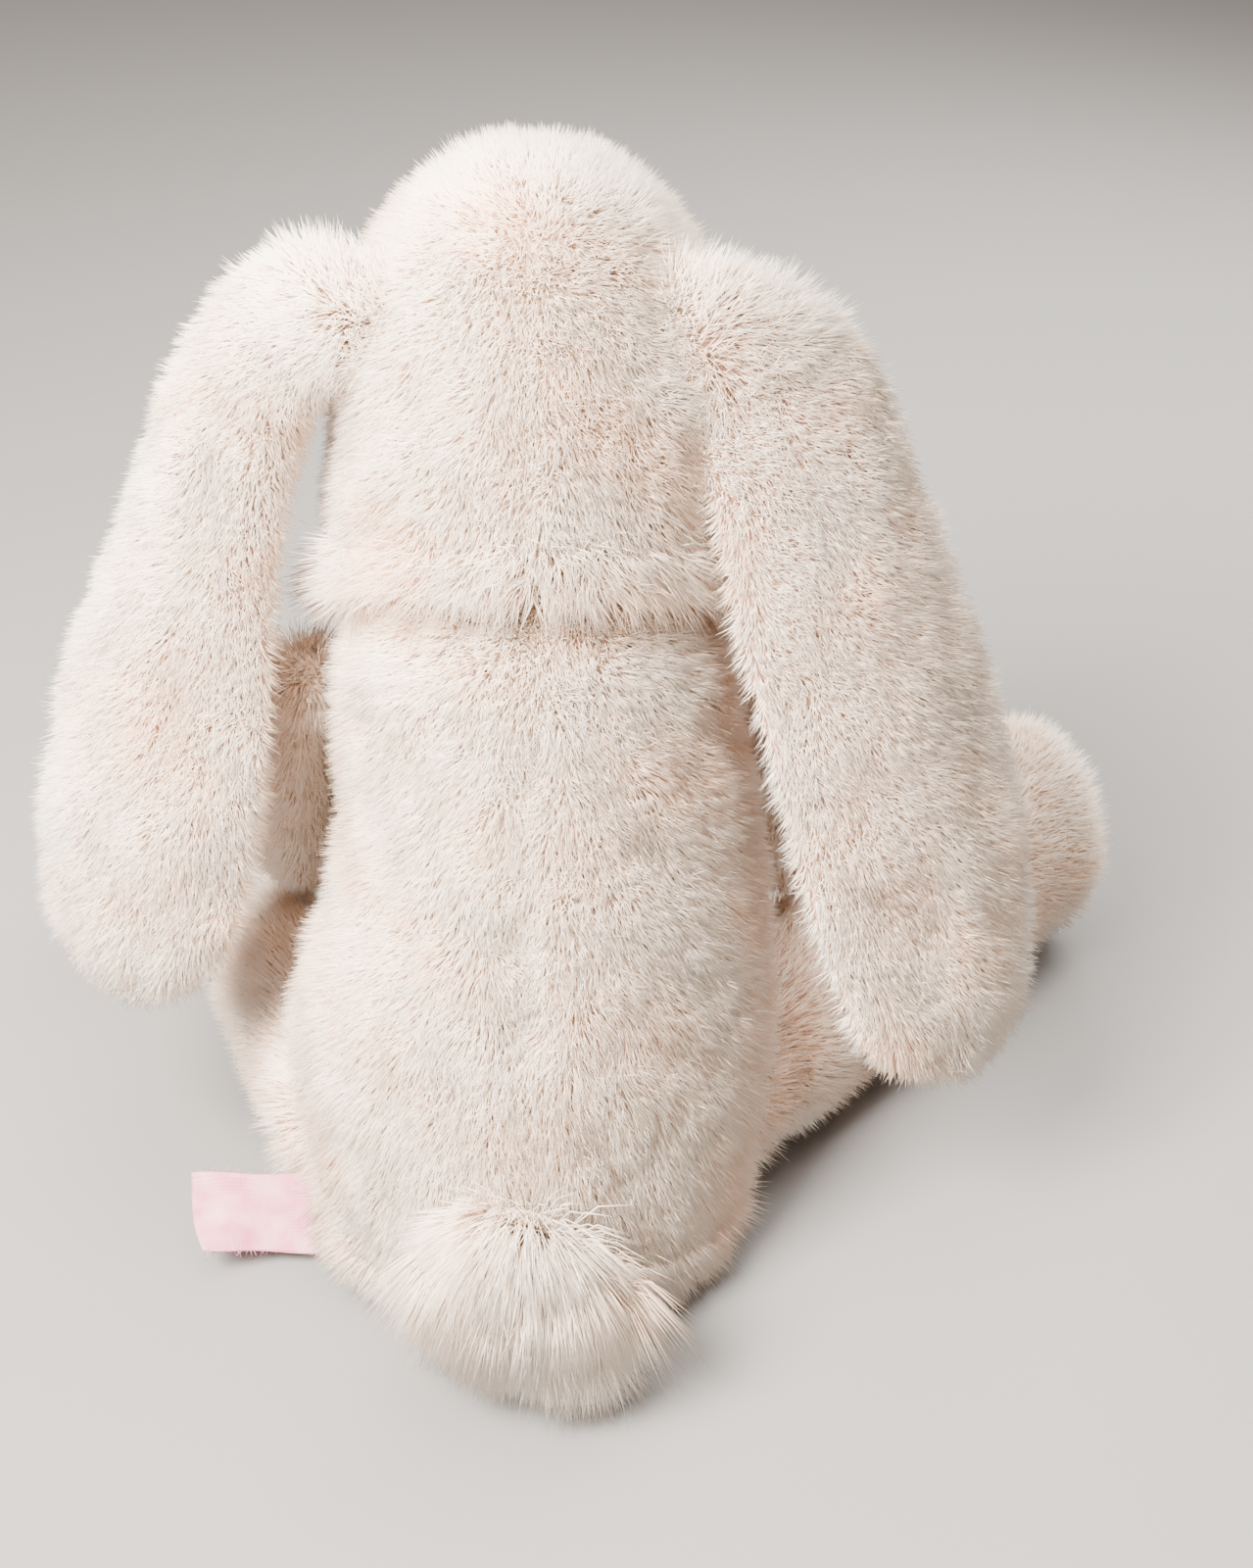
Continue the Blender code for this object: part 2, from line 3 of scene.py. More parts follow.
import bpy
import numpy as np
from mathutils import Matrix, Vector


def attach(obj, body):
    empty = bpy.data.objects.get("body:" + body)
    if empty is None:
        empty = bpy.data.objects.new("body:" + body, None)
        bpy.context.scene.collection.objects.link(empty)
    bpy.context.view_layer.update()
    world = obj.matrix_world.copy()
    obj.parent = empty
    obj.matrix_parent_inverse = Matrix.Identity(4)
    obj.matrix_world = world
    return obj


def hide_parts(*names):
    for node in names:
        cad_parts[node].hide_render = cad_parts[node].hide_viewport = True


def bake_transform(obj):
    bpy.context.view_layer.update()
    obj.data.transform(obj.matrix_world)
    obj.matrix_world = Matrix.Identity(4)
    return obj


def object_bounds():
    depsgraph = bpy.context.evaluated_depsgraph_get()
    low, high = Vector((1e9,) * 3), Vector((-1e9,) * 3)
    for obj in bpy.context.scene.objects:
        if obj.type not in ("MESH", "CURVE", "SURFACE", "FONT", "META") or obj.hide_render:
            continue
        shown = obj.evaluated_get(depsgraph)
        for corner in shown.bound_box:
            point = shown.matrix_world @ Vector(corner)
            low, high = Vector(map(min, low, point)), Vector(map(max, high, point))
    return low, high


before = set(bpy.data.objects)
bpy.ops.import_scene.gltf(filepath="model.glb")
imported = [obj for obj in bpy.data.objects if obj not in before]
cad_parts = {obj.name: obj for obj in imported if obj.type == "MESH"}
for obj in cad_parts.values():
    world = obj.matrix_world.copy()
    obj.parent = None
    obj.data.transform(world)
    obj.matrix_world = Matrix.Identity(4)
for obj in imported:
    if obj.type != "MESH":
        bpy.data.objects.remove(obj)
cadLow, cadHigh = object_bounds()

# Seated plush bunny. +Z is up, the face looks along -Y and +X is the bunny's own left.
# Stations and lengths are in millimetres; grids of points are in metres.
mm = 0.001
layout = {
    "leanDegrees": 25.0,             # how far the trunk slumps forward
    "pelvis": (0.0, -6.0, 32.0),
    "neckHeight": 65.0,              # neck centre above the pelvis, along the trunk
    "seamHeight": 17.0,              # neck seam above the neck centre
    "hips": {"left": (30.0, -13.0, 18.5, 18.0), "right": (-27.5, -17.5, 18.5, 16.5)},   # place and radius
    "hipRoom": 1.5,                  # space between a hip and the trunk
    "floor": cadLow.z,
}
lean = math.radians(layout["leanDegrees"])
leanTurn = np.array([[1, 0, 0], [0, math.cos(lean), -math.sin(lean)], [0, math.sin(lean), math.cos(lean)]])
pelvis = np.array(layout["pelvis"]) * mm
neck = pelvis + leanTurn @ np.array([0, 0, layout["neckHeight"] * mm])


# A point list of the leaning trunk or head, turned by the lean and moved to its origin.
def leaned(points, origin):
    return np.asarray(points) @ leanTurn.T + origin


# The same points seen from the leaning frame.
def upright(points, origin):
    return (np.asarray(points) - origin) @ leanTurn


# 0 below low, 1 above high, and a smooth S between them.
def ease(low, high, value):
    t = np.clip((value - low) / (high - low), 0, 1)
    return t * t * (3 - 2 * t)


# A bell of height 1 and half breadth width round zero.
def bell(distance, width):
    return np.exp(-(distance / width) ** 2)


# Smooth noise: a sum of sine waves in random directions, each about size long, from -1 to 1.
def swell(points, size, seed, waves=14):
    rng = np.random.default_rng(seed)
    heading = rng.normal(size=(waves, 3))
    steepness = (2 * math.pi / size) * rng.uniform(0.6, 1.4, (waves, 1))
    heading *= steepness / np.linalg.norm(heading, axis=1)[:, None]
    phase = rng.uniform(0, 2 * math.pi, waves)
    return np.sin(points @ heading.T + phase).sum(axis=-1) * math.sqrt(2 / waves) * 0.5


# A smooth curve through the stations, each span a cubic that uses its two neighbours.
def curveThrough(stations, steps):
    points = np.array(stations, float)
    padded = np.vstack([2 * points[0] - points[1], points, 2 * points[-1] - points[-2]])
    index = np.clip(np.floor(steps).astype(int), 0, len(points) - 2)
    t = (steps - index)[:, None]
    before, start, end, after = (padded[index + k] for k in range(4))
    return 0.5 * (2 * start + (end - before) * t + (2 * before - 5 * start + 4 * end - after) * t ** 2
                  + (3 * start - before - 3 * end + after) * t ** 3)


# Rings round a path with round ends. A ring's point is the path's point, plus the half width times
# the cosine of its angle sideways, plus the half thickness times the sine along the facing way.
# In each end the ring shrinks as a sine while the path slows as a cosine.
def tubeGrid(stations, facing, caps, rows, ring, flat=0.0):
    fine = curveThrough(stations, np.linspace(0, len(stations) - 1, 400)) * mm
    length = np.concatenate([[0], np.cumsum(np.linalg.norm(np.diff(fine[:, :3], axis=0), axis=1))])
    total, startCap, endCap = length[-1], caps[0] * mm, caps[1] * mm
    first = np.linspace(0.02, 1, rows[0], endpoint=False) * math.pi / 2
    last = np.linspace(1, 0.02, rows[2]) * math.pi / 2
    along = np.concatenate([startCap * (1 - np.cos(first)),
                            np.linspace(startCap, total - endCap, rows[1] + 1, endpoint=False),
                            total - endCap * (1 - np.cos(last))])
    shrink = np.concatenate([flat + (1 - flat) * np.sin(first), np.ones(rows[1] + 1), np.sin(last)])
    values = np.stack([np.interp(along, length, fine[:, k]) for k in range(5)], axis=1)
    path = values[:, :3]
    tangent = np.gradient(path, along, axis=0)
    tangent /= np.linalg.norm(tangent, axis=1, keepdims=True)
    facing = np.array(facing, float)
    thick = facing - tangent * (tangent @ facing)[:, None]
    thick /= np.linalg.norm(thick, axis=1, keepdims=True)
    wide = np.cross(thick, tangent)
    angle = np.arange(ring) * 2 * math.pi / ring
    width = (values[:, 3] * shrink)[:, None, None] * np.cos(angle)[None, :, None]
    depth = (values[:, 4] * shrink)[:, None, None] * np.sin(angle)[None, :, None]
    grid = path[:, None] + width * wide[:, None] + depth * thick[:, None]
    return {"grid": grid, "path": path, "along": along, "angle": angle, "thick": thick, "wide": wide,
            "tangent": tangent, "width": values[:, 3] * shrink, "depth": values[:, 4] * shrink}


# Outward normals of a ring grid: the way round crossed with the way along.
def gridNormals(grid):
    around = np.roll(grid, -1, axis=1) - np.roll(grid, 1, axis=1)
    normal = np.cross(around, np.gradient(grid, axis=0))
    return normal / np.maximum(np.linalg.norm(normal, axis=2, keepdims=True), 1e-12)


# Pull each ring's points towards the path where a ball would cut them off.
def carve(shape, centre, radius):
    path = shape["path"]
    ray = shape["grid"] - path[:, None]
    reach = np.linalg.norm(ray, axis=2)
    ray = ray / reach[..., None]
    toBall = centre - path[:, None]
    nearest = np.einsum("ijk,ijk->ij", ray, np.broadcast_to(toBall, ray.shape))
    inside = radius ** 2 - (np.einsum("ijk,ijk->ij", toBall, toBall) - nearest ** 2)
    entry = nearest - np.sqrt(np.maximum(inside, 0))
    reach = np.where((inside > 0) & (nearest > 0), np.minimum(reach, np.maximum(entry, 2 * mm)), reach)
    shape["grid"] = path[:, None] + ray * reach[..., None]


# A mesh from whole arrays of points and triangles or quads.
def arrayMesh(name, points, faces, smooth=True):
    mesh = bpy.data.meshes.new(name)
    corners = faces.shape[1]
    mesh.vertices.add(len(points))
    mesh.vertices.foreach_set("co", np.ascontiguousarray(points, np.float32).ravel())
    mesh.loops.add(faces.size)
    mesh.loops.foreach_set("vertex_index", np.ascontiguousarray(faces, np.int32).ravel())
    mesh.polygons.add(len(faces))
    mesh.polygons.foreach_set("loop_start", np.arange(0, faces.size, corners, dtype=np.int32))
    mesh.polygons.foreach_set("use_smooth", np.full(len(faces), smooth))
    mesh.update(calc_edges=True)
    return mesh


def placed(name, mesh, material):
    mesh.materials.append(material)
    item = bpy.data.objects.new(name, mesh)
    bpy.context.scene.collection.objects.link(item)
    return item


# The closed skin of a ring grid: two triangles a cell, and a fan to a middle point at each end.
def gridFaces(rows, ring):
    i, j = np.meshgrid(np.arange(rows - 1), np.arange(ring), indexing="ij")
    a, b = i * ring + j, i * ring + (j + 1) % ring
    cells = np.stack([a, b, b + ring, a, b + ring, a + ring], axis=-1).reshape(-1, 3)
    around = np.arange(ring)
    turned = (around + 1) % ring
    last = (rows - 1) * ring
    startFan = np.stack([np.full(ring, rows * ring), turned, around], axis=1)
    endFan = np.stack([np.full(ring, rows * ring + 1), last + around, last + turned], axis=1)
    return np.concatenate([cells, startFan, endFan])


def skinMesh(name, grid):
    rows, ring, _ = grid.shape
    points = np.concatenate([grid.reshape(-1, 3), [grid[0].mean(axis=0)], [grid[-1].mean(axis=0)]])
    return arrayMesh(name, points, gridFaces(rows, ring))


stuffing = {"scale": 10.0, "pressure": 3.0, "frames": 14, "cap": 1.6, "start": 0.8}


# Stuff a skin: its cloth is blown up a little from inside while its seams stay where they are.
# It runs ten times larger than life, and no point ends further than the cap from where it began.
def stuffed(name, grid, sewn):
    start = grid - gridNormals(grid) * (stuffing["start"] * mm) * (1 - sewn)[..., None]
    rows, ring, _ = grid.shape
    mesh = skinMesh(name + "Cloth", start * stuffing["scale"])
    item = bpy.data.objects.new(name + "Cloth", mesh)
    bpy.context.scene.collection.objects.link(item)
    pins = item.vertex_groups.new(name="sewn")
    levels = np.round(np.append(sewn.ravel(), [1.0, 1.0]), 1)
    for level in np.unique(levels[levels > 0]):
        pins.add(np.flatnonzero(levels == level).tolist(), float(level), "REPLACE")
    cloth = item.modifiers.new("cloth", "CLOTH")
    cloth.settings.effector_weights.gravity = 0.0
    cloth.settings.use_pressure = True
    cloth.settings.uniform_pressure_force = stuffing["pressure"]
    cloth.settings.vertex_group_mass = "sewn"
    cloth.settings.quality = 5
    cloth.settings.tension_stiffness = 12
    cloth.settings.compression_stiffness = 12
    cloth.settings.bending_stiffness = 0.6
    cloth.collision_settings.use_collision = False
    cloth.point_cache.frame_start, cloth.point_cache.frame_end = 1, stuffing["frames"]
    for step in range(1, stuffing["frames"] + 1):
        bpy.context.scene.frame_set(step)
    ready = item.evaluated_get(bpy.context.evaluated_depsgraph_get())
    moved = np.empty(len(ready.data.vertices) * 3, np.float32)
    ready.data.vertices.foreach_get("co", moved)
    bpy.context.scene.frame_set(1)
    bpy.data.objects.remove(item)
    moved = moved.reshape(-1, 3)[:rows * ring].reshape(grid.shape) / stuffing["scale"]
    shift = np.nan_to_num(moved - start)
    size = np.linalg.norm(shift, axis=2, keepdims=True)
    shift *= np.minimum(1, stuffing["cap"] * mm / np.maximum(size, 1e-9))
    meanMove, mostMove = float(size.mean()) / mm, float(size.max()) / mm
    print("stuffed", name, "mean move mm", round(meanMove, 2), "most", round(mostMove, 2))
    return start + shift


def newMaterial(name):
    material = bpy.data.materials.new(name)
    material.use_nodes = True
    tree = material.node_tree
    return material, tree, tree.nodes["Principled BSDF"]


def rampNode(tree, stops):
    ramp = tree.nodes.new("ShaderNodeValToRGB")
    while len(ramp.color_ramp.elements) < len(stops):
        ramp.color_ramp.elements.new(0.5)
    for element, (place, colour) in zip(ramp.color_ramp.elements, stops):
        element.position = place
        element.color = (*colour, 1.0)
    return ramp


# Pile: the strand map's first number picks the tint and its second runs from root to tip.
def pileMaterial(name, look):
    material, tree, shader = newMaterial(name)
    strandMap = tree.nodes.new("ShaderNodeUVMap")
    strandMap.uv_map = "OFBake"
    split = tree.nodes.new("ShaderNodeSeparateXYZ")
    tint = rampNode(tree, [(0.0, look["warm"]), (0.45, look["middle"]), (1.0, look["pale"])])
    fade = rampNode(tree, [(0.0, look["root"]), (0.55, look["half"]), (1.0, look["tip"])])
    blend = tree.nodes.new("ShaderNodeMix")
    blend.data_type = "RGBA"
    blend.blend_type = "MULTIPLY"
    blend.inputs["Factor"].default_value = 1.0
    links = tree.links
    links.new(strandMap.outputs["UV"], split.inputs["Vector"])
    links.new(split.outputs["X"], tint.inputs["Fac"])
    links.new(split.outputs["Y"], fade.inputs["Fac"])
    links.new(tint.outputs["Color"], blend.inputs[6])
    links.new(fade.outputs["Color"], blend.inputs[7])
    links.new(blend.outputs[2], shader.inputs["Base Color"])
    shader.inputs["Roughness"].default_value = 0.8
    shader.inputs["Specular IOR Level"].default_value = 0.25
    shader.inputs["Sheen Weight"].default_value = look["sheen"]
    shader.inputs["Sheen Roughness"].default_value = 0.4
    shader.inputs["Sheen Tint"].default_value = (1.0, 0.96, 0.92, 1.0)
    return material


# Backing: the knitted ground under the pile, two sizes of noise in colour and relief.
def backingMaterial(name, dark, light, relief=0.5):
    material, tree, shader = newMaterial(name)
    place = tree.nodes.new("ShaderNodeTexCoord")
    patches = tree.nodes.new("ShaderNodeTexNoise")
    patches.inputs["Scale"].default_value = 60.0
    patches.inputs["Detail"].default_value = 5.0
    loops = tree.nodes.new("ShaderNodeTexVoronoi")
    loops.inputs["Scale"].default_value = 900.0
    colour = rampNode(tree, [(0.3, dark), (0.7, light)])
    bump = tree.nodes.new("ShaderNodeBump")
    bump.inputs["Strength"].default_value = relief
    bump.inputs["Distance"].default_value = 0.0005
    links = tree.links
    links.new(place.outputs["Object"], patches.inputs["Vector"])
    links.new(place.outputs["Object"], loops.inputs["Vector"])
    links.new(patches.outputs["Fac"], colour.inputs["Fac"])
    links.new(colour.outputs["Color"], shader.inputs["Base Color"])
    links.new(loops.outputs["Distance"], bump.inputs["Height"])
    links.new(bump.outputs["Normal"], shader.inputs["Normal"])
    shader.inputs["Roughness"].default_value = 0.95
    shader.inputs["Specular IOR Level"].default_value = 0.1
    shader.inputs["Sheen Weight"].default_value = 0.2
    return material


# Moulded plastic: a fine haze varies the gloss a little.
def mouldedMaterial(name, colour, roughness, coat=0.0):
    material, tree, shader = newMaterial(name)
    place = tree.nodes.new("ShaderNodeTexCoord")
    haze = tree.nodes.new("ShaderNodeTexNoise")
    haze.inputs["Scale"].default_value = 400.0
    spread = tree.nodes.new("ShaderNodeMapRange")
    spread.inputs["To Min"].default_value = roughness
    spread.inputs["To Max"].default_value = roughness * 1.8
    tree.links.new(place.outputs["Object"], haze.inputs["Vector"])
    tree.links.new(haze.outputs["Fac"], spread.inputs["Value"])
    tree.links.new(spread.outputs["Result"], shader.inputs["Roughness"])
    shader.inputs["Base Color"].default_value = (*colour, 1.0)
    shader.inputs["Coat Weight"].default_value = coat
    return material


# Tints from place to place, then colours along a strand, which are multiplied together. The darker, warmer
# roots are painted shade deep in the pile.
creamPile = {"warm": (1.0, 0.80, 0.66), "middle": (1.0, 0.94, 0.88), "pale": (1.0, 0.985, 0.965),
             "root": (0.99, 0.83, 0.70), "half": (0.985, 0.88, 0.78), "tip": (0.985, 0.92, 0.84),
             "sheen": 0.2}
peachPile = {"warm": (1.0, 0.86, 0.76), "middle": (1.0, 0.91, 0.84), "pale": (1.0, 0.97, 0.93),
             "root": (0.78, 0.47, 0.34), "half": (0.88, 0.60, 0.47), "tip": (0.92, 0.70, 0.58), "sheen": 0.3}
creamFur = pileMaterial("cream_pile", creamPile)
peachVelour = pileMaterial("peach_pile", peachPile)
# The cream backing is warmer than the pile's tips: that extra warmth is painted warm shade at the bottom of
# the pile.
creamBacking = backingMaterial("cream_backing", (0.98, 0.83, 0.70), (0.98, 0.88, 0.77))
peachBacking = backingMaterial("peach_backing", (0.74, 0.42, 0.30), (0.86, 0.56, 0.44))
washerMaterial = mouldedMaterial("washer_plastic", (0.8, 0.8, 0.78), 0.4)


pile = {"sink": 0.5, "floorRoom": 0.25}


# The nearest of the scattered tuft centres, one in each cube of a lattice with side size.
def nearestTuft(points, size, seed):
    cell = np.floor(points / size)
    best = np.full(len(points), 1e9)
    centre = np.zeros_like(points)
    for offset in np.ndindex(3, 3, 3):
        cube = cell + np.array(offset) - 1
        mixed = cube @ np.array([[12.9898, 39.3468, 73.1560], [78.2330, 11.1351, 52.2350],
                                 [37.7190, 83.1550, 9.1510]]) + seed
        jitter = np.modf(np.abs(np.sin(mixed) * 43758.5453))[0]
        spot = (cube + jitter) * size
        distance = ((spot - points) ** 2).sum(axis=1)
        closer = distance < best
        best = np.where(closer, distance, best)
        centre[closer] = spot[closer]
    return centre


# Random places on a ring grid, more where the weight is larger. Every field is read at each place
# by mixing its four corners.
def scatter(fields, weight, count, rng):
    grid = fields["place"]
    ring = grid.shape[1]
    across = np.roll(grid, -1, axis=1)[:-1] - grid[:-1]
    down = grid[1:] - grid[:-1]
    chance = np.linalg.norm(np.cross(across, down), axis=2)
    turned = np.roll(weight, -1, axis=1)
    chance *= (weight[:-1] + weight[1:] + turned[:-1] + turned[1:]) / 4
    total = np.cumsum(chance.ravel())
    cell = np.searchsorted(total, rng.random(count) * total[-1])
    row, column = np.divmod(np.minimum(cell, chance.size - 1), ring)
    following = (column + 1) % ring
    a, b = rng.random(count), rng.random(count)
    corners = ((row, column, (1 - a) * (1 - b)), (row, following, (1 - a) * b),
               (row + 1, column, a * (1 - b)), (row + 1, following, a * b))
    return {key: sum(field[i, j] * (share if field.ndim == 2 else share[:, None])
                     for i, j, share in corners) for key, field in fields.items()}


# Three ways square to a needle, a third of a turn apart.
def threeSides(sideways, other):
    turn = np.arange(3) * 2 * math.pi / 3
    return np.cos(turn)[None, :, None] * sideways[:, None] + np.sin(turn)[None, :, None] * other[:, None]


# Strands as closed three-sided needles. A strand starts a little inside the skin, leans from the
# normal towards the flow, and its tip is drawn to the middle of its tuft. A few longer guard hairs
# stand more upright, and a tuft's strands are longer or shorter together. A bent strand has a ring
# of three points half way, past which it turns further.
def strands(name, roots, look, material, seed):
    rng = np.random.default_rng(seed)
    place, normal, flow = roots["place"], roots["normal"], roots["flow"]
    count = len(place)
    normal = normal / np.linalg.norm(normal, axis=1, keepdims=True)
    flow = flow - normal * (flow * normal).sum(axis=1, keepdims=True)
    centre = nearestTuft(place, look["tuft"] * mm, seed)
    guard = rng.random(count) < look["guards"]
    length = roots["length"] * rng.uniform(0.72, 1.18, count) * np.where(guard, look["guardReach"], 1.0)
    length *= 1 + look["uneven"] * np.clip(swell(centre, look["tuft"] * 1.2 * mm, seed + 5), -1, 1)
    loose = rng.normal(size=(count, 3)) * look["loose"]
    comb = np.stack([swell(place, look["comb"] * mm, seed + k) for k in range(3)], axis=1) * look["sway"]
    heading = normal + flow * (look["leaning"] * np.where(guard, 0.6, 1.0))[:, None] + loose + comb
    heading /= np.linalg.norm(heading, axis=1, keepdims=True)
    start = place - normal * (pile["sink"] * mm)
    inward = centre - place
    inward -= normal * (inward * normal).sum(axis=1, keepdims=True)
    bunch = np.clip(look["bunch"] * (1 + 0.6 * swell(place, 9 * mm, seed + 9)), 0, 0.9)
    bunch *= np.where(guard, 0.4, 1.0)
    tip = start + heading * (length + pile["sink"] * mm)[:, None] + inward * bunch[:, None]
    bent = look.get("bent", 0.0)
    sideways = np.cross(heading, rng.normal(size=(count, 3)))
    sideways /= np.linalg.norm(sideways, axis=1, keepdims=True)
    other = np.cross(heading, sideways)
    radius = look["radius"] * mm * rng.uniform(0.75, 1.2, count)
    around = threeSides(sideways, other)
    base = start[:, None] + around * radius[:, None, None]
    floorHeight = layout["floor"] + pile["floorRoom"] * mm
    if bent:
        middle = (start + tip) / 2
        tip = tip + (flow * bent + np.array([0, 0, -look.get("droop", 0.0)])) * length[:, None]
        waist = middle[:, None] + around * (0.72 * radius)[:, None, None]
        points = np.concatenate([base, waist, tip[:, None]], axis=1)
        local = np.array([(0, 1, 2)] + [f for k in range(3) for f in
                         ((k, 3 + k, (k + 1) % 3), ((k + 1) % 3, 3 + k, 3 + (k + 1) % 3),
                          (3 + k, 6, 3 + (k + 1) % 3))])
        along = np.array([0.02] * 3 + [0.5] * 3 + [0.98])
    else:
        points = np.concatenate([base, tip[:, None]], axis=1)
        local = np.array([(0, 1, 2), (0, 3, 1), (1, 3, 2), (2, 3, 0)])
        along = np.array([0.02] * 3 + [0.98])
    points[..., 2] = np.maximum(points[..., 2], floorHeight + rng.uniform(0, 0.3, count)[:, None] * mm)
    each = points.shape[1]
    # Seen from the tip, the root's three points run clockwise, so the faces are listed to suit.
    faces = (local[:, ::-1][None] + each * np.arange(count)[:, None, None]).reshape(-1, 3)
    mesh = arrayMesh(name, points.reshape(-1, 3), faces)
    # The tint is a random tone from place to place, plus the painted warm shade that some skins add through
    # their tint field.
    tint = 0.5 + 0.30 * swell(place, 26 * mm, seed + 21) + 0.14 * swell(place, 5 * mm, seed + 22)
    tint = np.clip(tint + rng.normal(size=count) * 0.10 + roots.get("tint", 0.0), 0.02, 0.96)
    side = np.linspace(0, 0.02, each)
    u = (tint[:, None] + side[None])[:, local[:, ::-1]]
    v = np.broadcast_to(along[local[:, ::-1]], u.shape)
    strandMap = np.stack([u, v], axis=-1).astype(np.float32)
    mesh.uv_layers.new(name="OFBake").data.foreach_set("uv", strandMap.ravel())
    item = placed(name, mesh, material)
    print("pile", name, count, "strands", len(faces), "triangles")
    return item


# The length and the way of the pile over one skin, from its grid and its shape's directions.
def pileFields(grid, flow, length):
    return {"place": grid, "normal": gridNormals(grid), "flow": flow,
            "length": np.broadcast_to(length, grid.shape[:2]) * mm}


# How near each place round a ring is to a seam, from 0 to 1.
def nearSeam(angle, seams):
    return np.maximum.reduce([bell(np.angle(np.exp(1j * (angle - at))), 0.05) for at in seams])


# One way for the pile all over a skin.
def fixedWay(grid, way):
    return np.broadcast_to(np.array(way, float), grid.shape)


softLook = {"leaning": 0.6, "loose": 0.22, "comb": 11.0, "sway": 0.30, "tuft": 1.6, "bunch": 0.42,
            "radius": 0.20, "bent": 0.0, "guards": 0.1, "guardReach": 1.45, "uneven": 0.1}
velourLook = {**softLook, "leaning": 0.5, "loose": 0.15, "tuft": 1.2, "bunch": 0.25, "guards": 0.0}


trunk = {
    "stations": [(3, 1.5, 0, 32, 28), (2.5, 1.5, 12, 37.5, 31)],
    # height above the pelvis along the lean, shift sideways, half width, half depth
    "leaning": [(3, 1.0, 40.5, 34), (25, -1.8, 37, 33), (45, -2, 34, 32), (65, 0, 33, 31), (96, 0, 33.5, 31)],
    "caps": (9, 31), "rows": (10, 46, 16), "ring": 96, "seatFlat": 0.55,
    "pile": 5.4, "backStrands": 44000, "bellyStrands": 30000, "dimples": [(2.5, 27.0), (1.5, 12.0)],
}


def makeTrunk():
    stations = list(trunk["stations"])
    for height, x, wide, deep in trunk["leaning"]:
        y, z = leaned((0, 0, height * mm), pelvis)[1:] / mm
        stations.append((x, y, z, wide, deep))
    shape = tubeGrid(stations, (0, 1, 0), trunk["caps"], trunk["rows"], trunk["ring"], trunk["seatFlat"])
    shape["grid"][0, :, 2] = 0
    shape["grid"][..., 2] = np.maximum(shape["grid"][..., 2], layout["floor"] + 0.1 * mm)
    atHip = 1e9
    for x, y, z, radius in layout["hips"].values():
        hip, hollow = np.array([x, y, z]) * mm, (radius + layout["hipRoom"]) * mm
        carve(shape, hip, hollow)
        atHip = np.minimum(atHip, np.linalg.norm(shape["grid"] - hip, axis=2) - hollow)
    grid, angle = shape["grid"], shape["angle"][None]
    hidden = ease(16.5 * mm, 19 * mm, upright(grid, neck)[..., 2])
    atHip = 1 - ease(0.3 * mm, 1.2 * mm, atHip)
    onFloor = 1 - ease(0.6 * mm, 2.0 * mm, grid[..., 2])
    seam = nearSeam(angle, (0, math.pi / 2, math.pi))
    sewn = np.clip(np.maximum.reduce([seam + 0 * hidden, hidden, atHip, onFloor]), 0, 1)
    grid = stuffed("trunk", grid, sewn)
    normal = gridNormals(grid)
    inTrunk = upright(grid, pelvis)
    back = ease(-0.2, 0.3, np.sin(angle)) + 0 * hidden
    dent = 0.9 * bell(inTrunk[..., 0], 2.2 * mm) * back
    for x, height in trunk["dimples"]:
        away = np.hypot(inTrunk[..., 0] - x * mm, inTrunk[..., 2] - height * mm)
        dent += 1.8 * bell(away, 4.5 * mm) * back
    grid = grid - normal * (dent * mm)[..., None]
    skin = placed("trunk_skin", skinMesh("trunk_skin", grid), creamBacking)
    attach(skin, "trunk")
    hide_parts("seat_panel", "body_stuffing", "pellet_pouch")
    away = normal * np.array([1.0, 1.0, 0.0])
    flow = leanTurn @ np.array([0, 0, -1.0]) + 0.15 * away
    length = trunk["pile"] * (1 - 0.15 * ease(9 * mm, 16 * mm, upright(grid, neck)[..., 2])) - 0.5 * dent
    fields = pileFields(grid, flow, length)
    atNeck = ease(10 * mm, 17 * mm, upright(grid, neck)[..., 2])
    # Painted warm shade: the pile is tinted warmer at the trunk's sides and under the neck, where shade
    # falls.
    fields["tint"] = -0.38 * ease(0.72, 1.0, np.abs(np.cos(angle))) - 0.25 * atNeck
    shown = (1 - hidden) * (1 - atHip) * (1 - onFloor)
    atLeft, atBack = np.cos(angle) > 0, np.sin(angle) >= 0
    for name, region, count, seed in (
            ("back_left", atLeft & atBack, trunk["backStrands"], 11),
            ("back_right", ~atLeft & atBack, trunk["backStrands"], 12),
            ("belly", ~atBack, trunk["bellyStrands"], 13)):
        roots = scatter(fields, shown * region, count, np.random.default_rng(seed))
        coat = strands(name + "_fur", roots, softLook, creamFur, seed)
        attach(coat, "trunk")
        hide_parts(name + "_panel")


head = {
    # height above the neck, half width, half depth
    "profile": [(19.0, 33, 31.5), (25, 33.5, 32.5), (38, 33.5, 33.5), (52, 31.5, 33), (68, 29, 31.5),
                (93.5, 27.5, 31)],
    # swellings under the roots of the ears: place, breadth and height
    "fillets": [(31, 17, 66, 9, 2.0), (30, 17, 56, 9, 2.0), (-31, 18, 60, 12, 2.6), (-28, 21, 50, 9, 2.4),
                (-29, 20, 39, 8, 1.8)],
    "crown": 28, "rows": (2, 40, 22), "ring": 96, "socket": (34.0, 31.0), "neckRoom": 0.9,
    "pile": 5.4, "fringe": 8.2, "strands": 43000, "noseHeight": 52.0, "eyeHeight": 64.0, "eyeSpacing": 16.0,
}


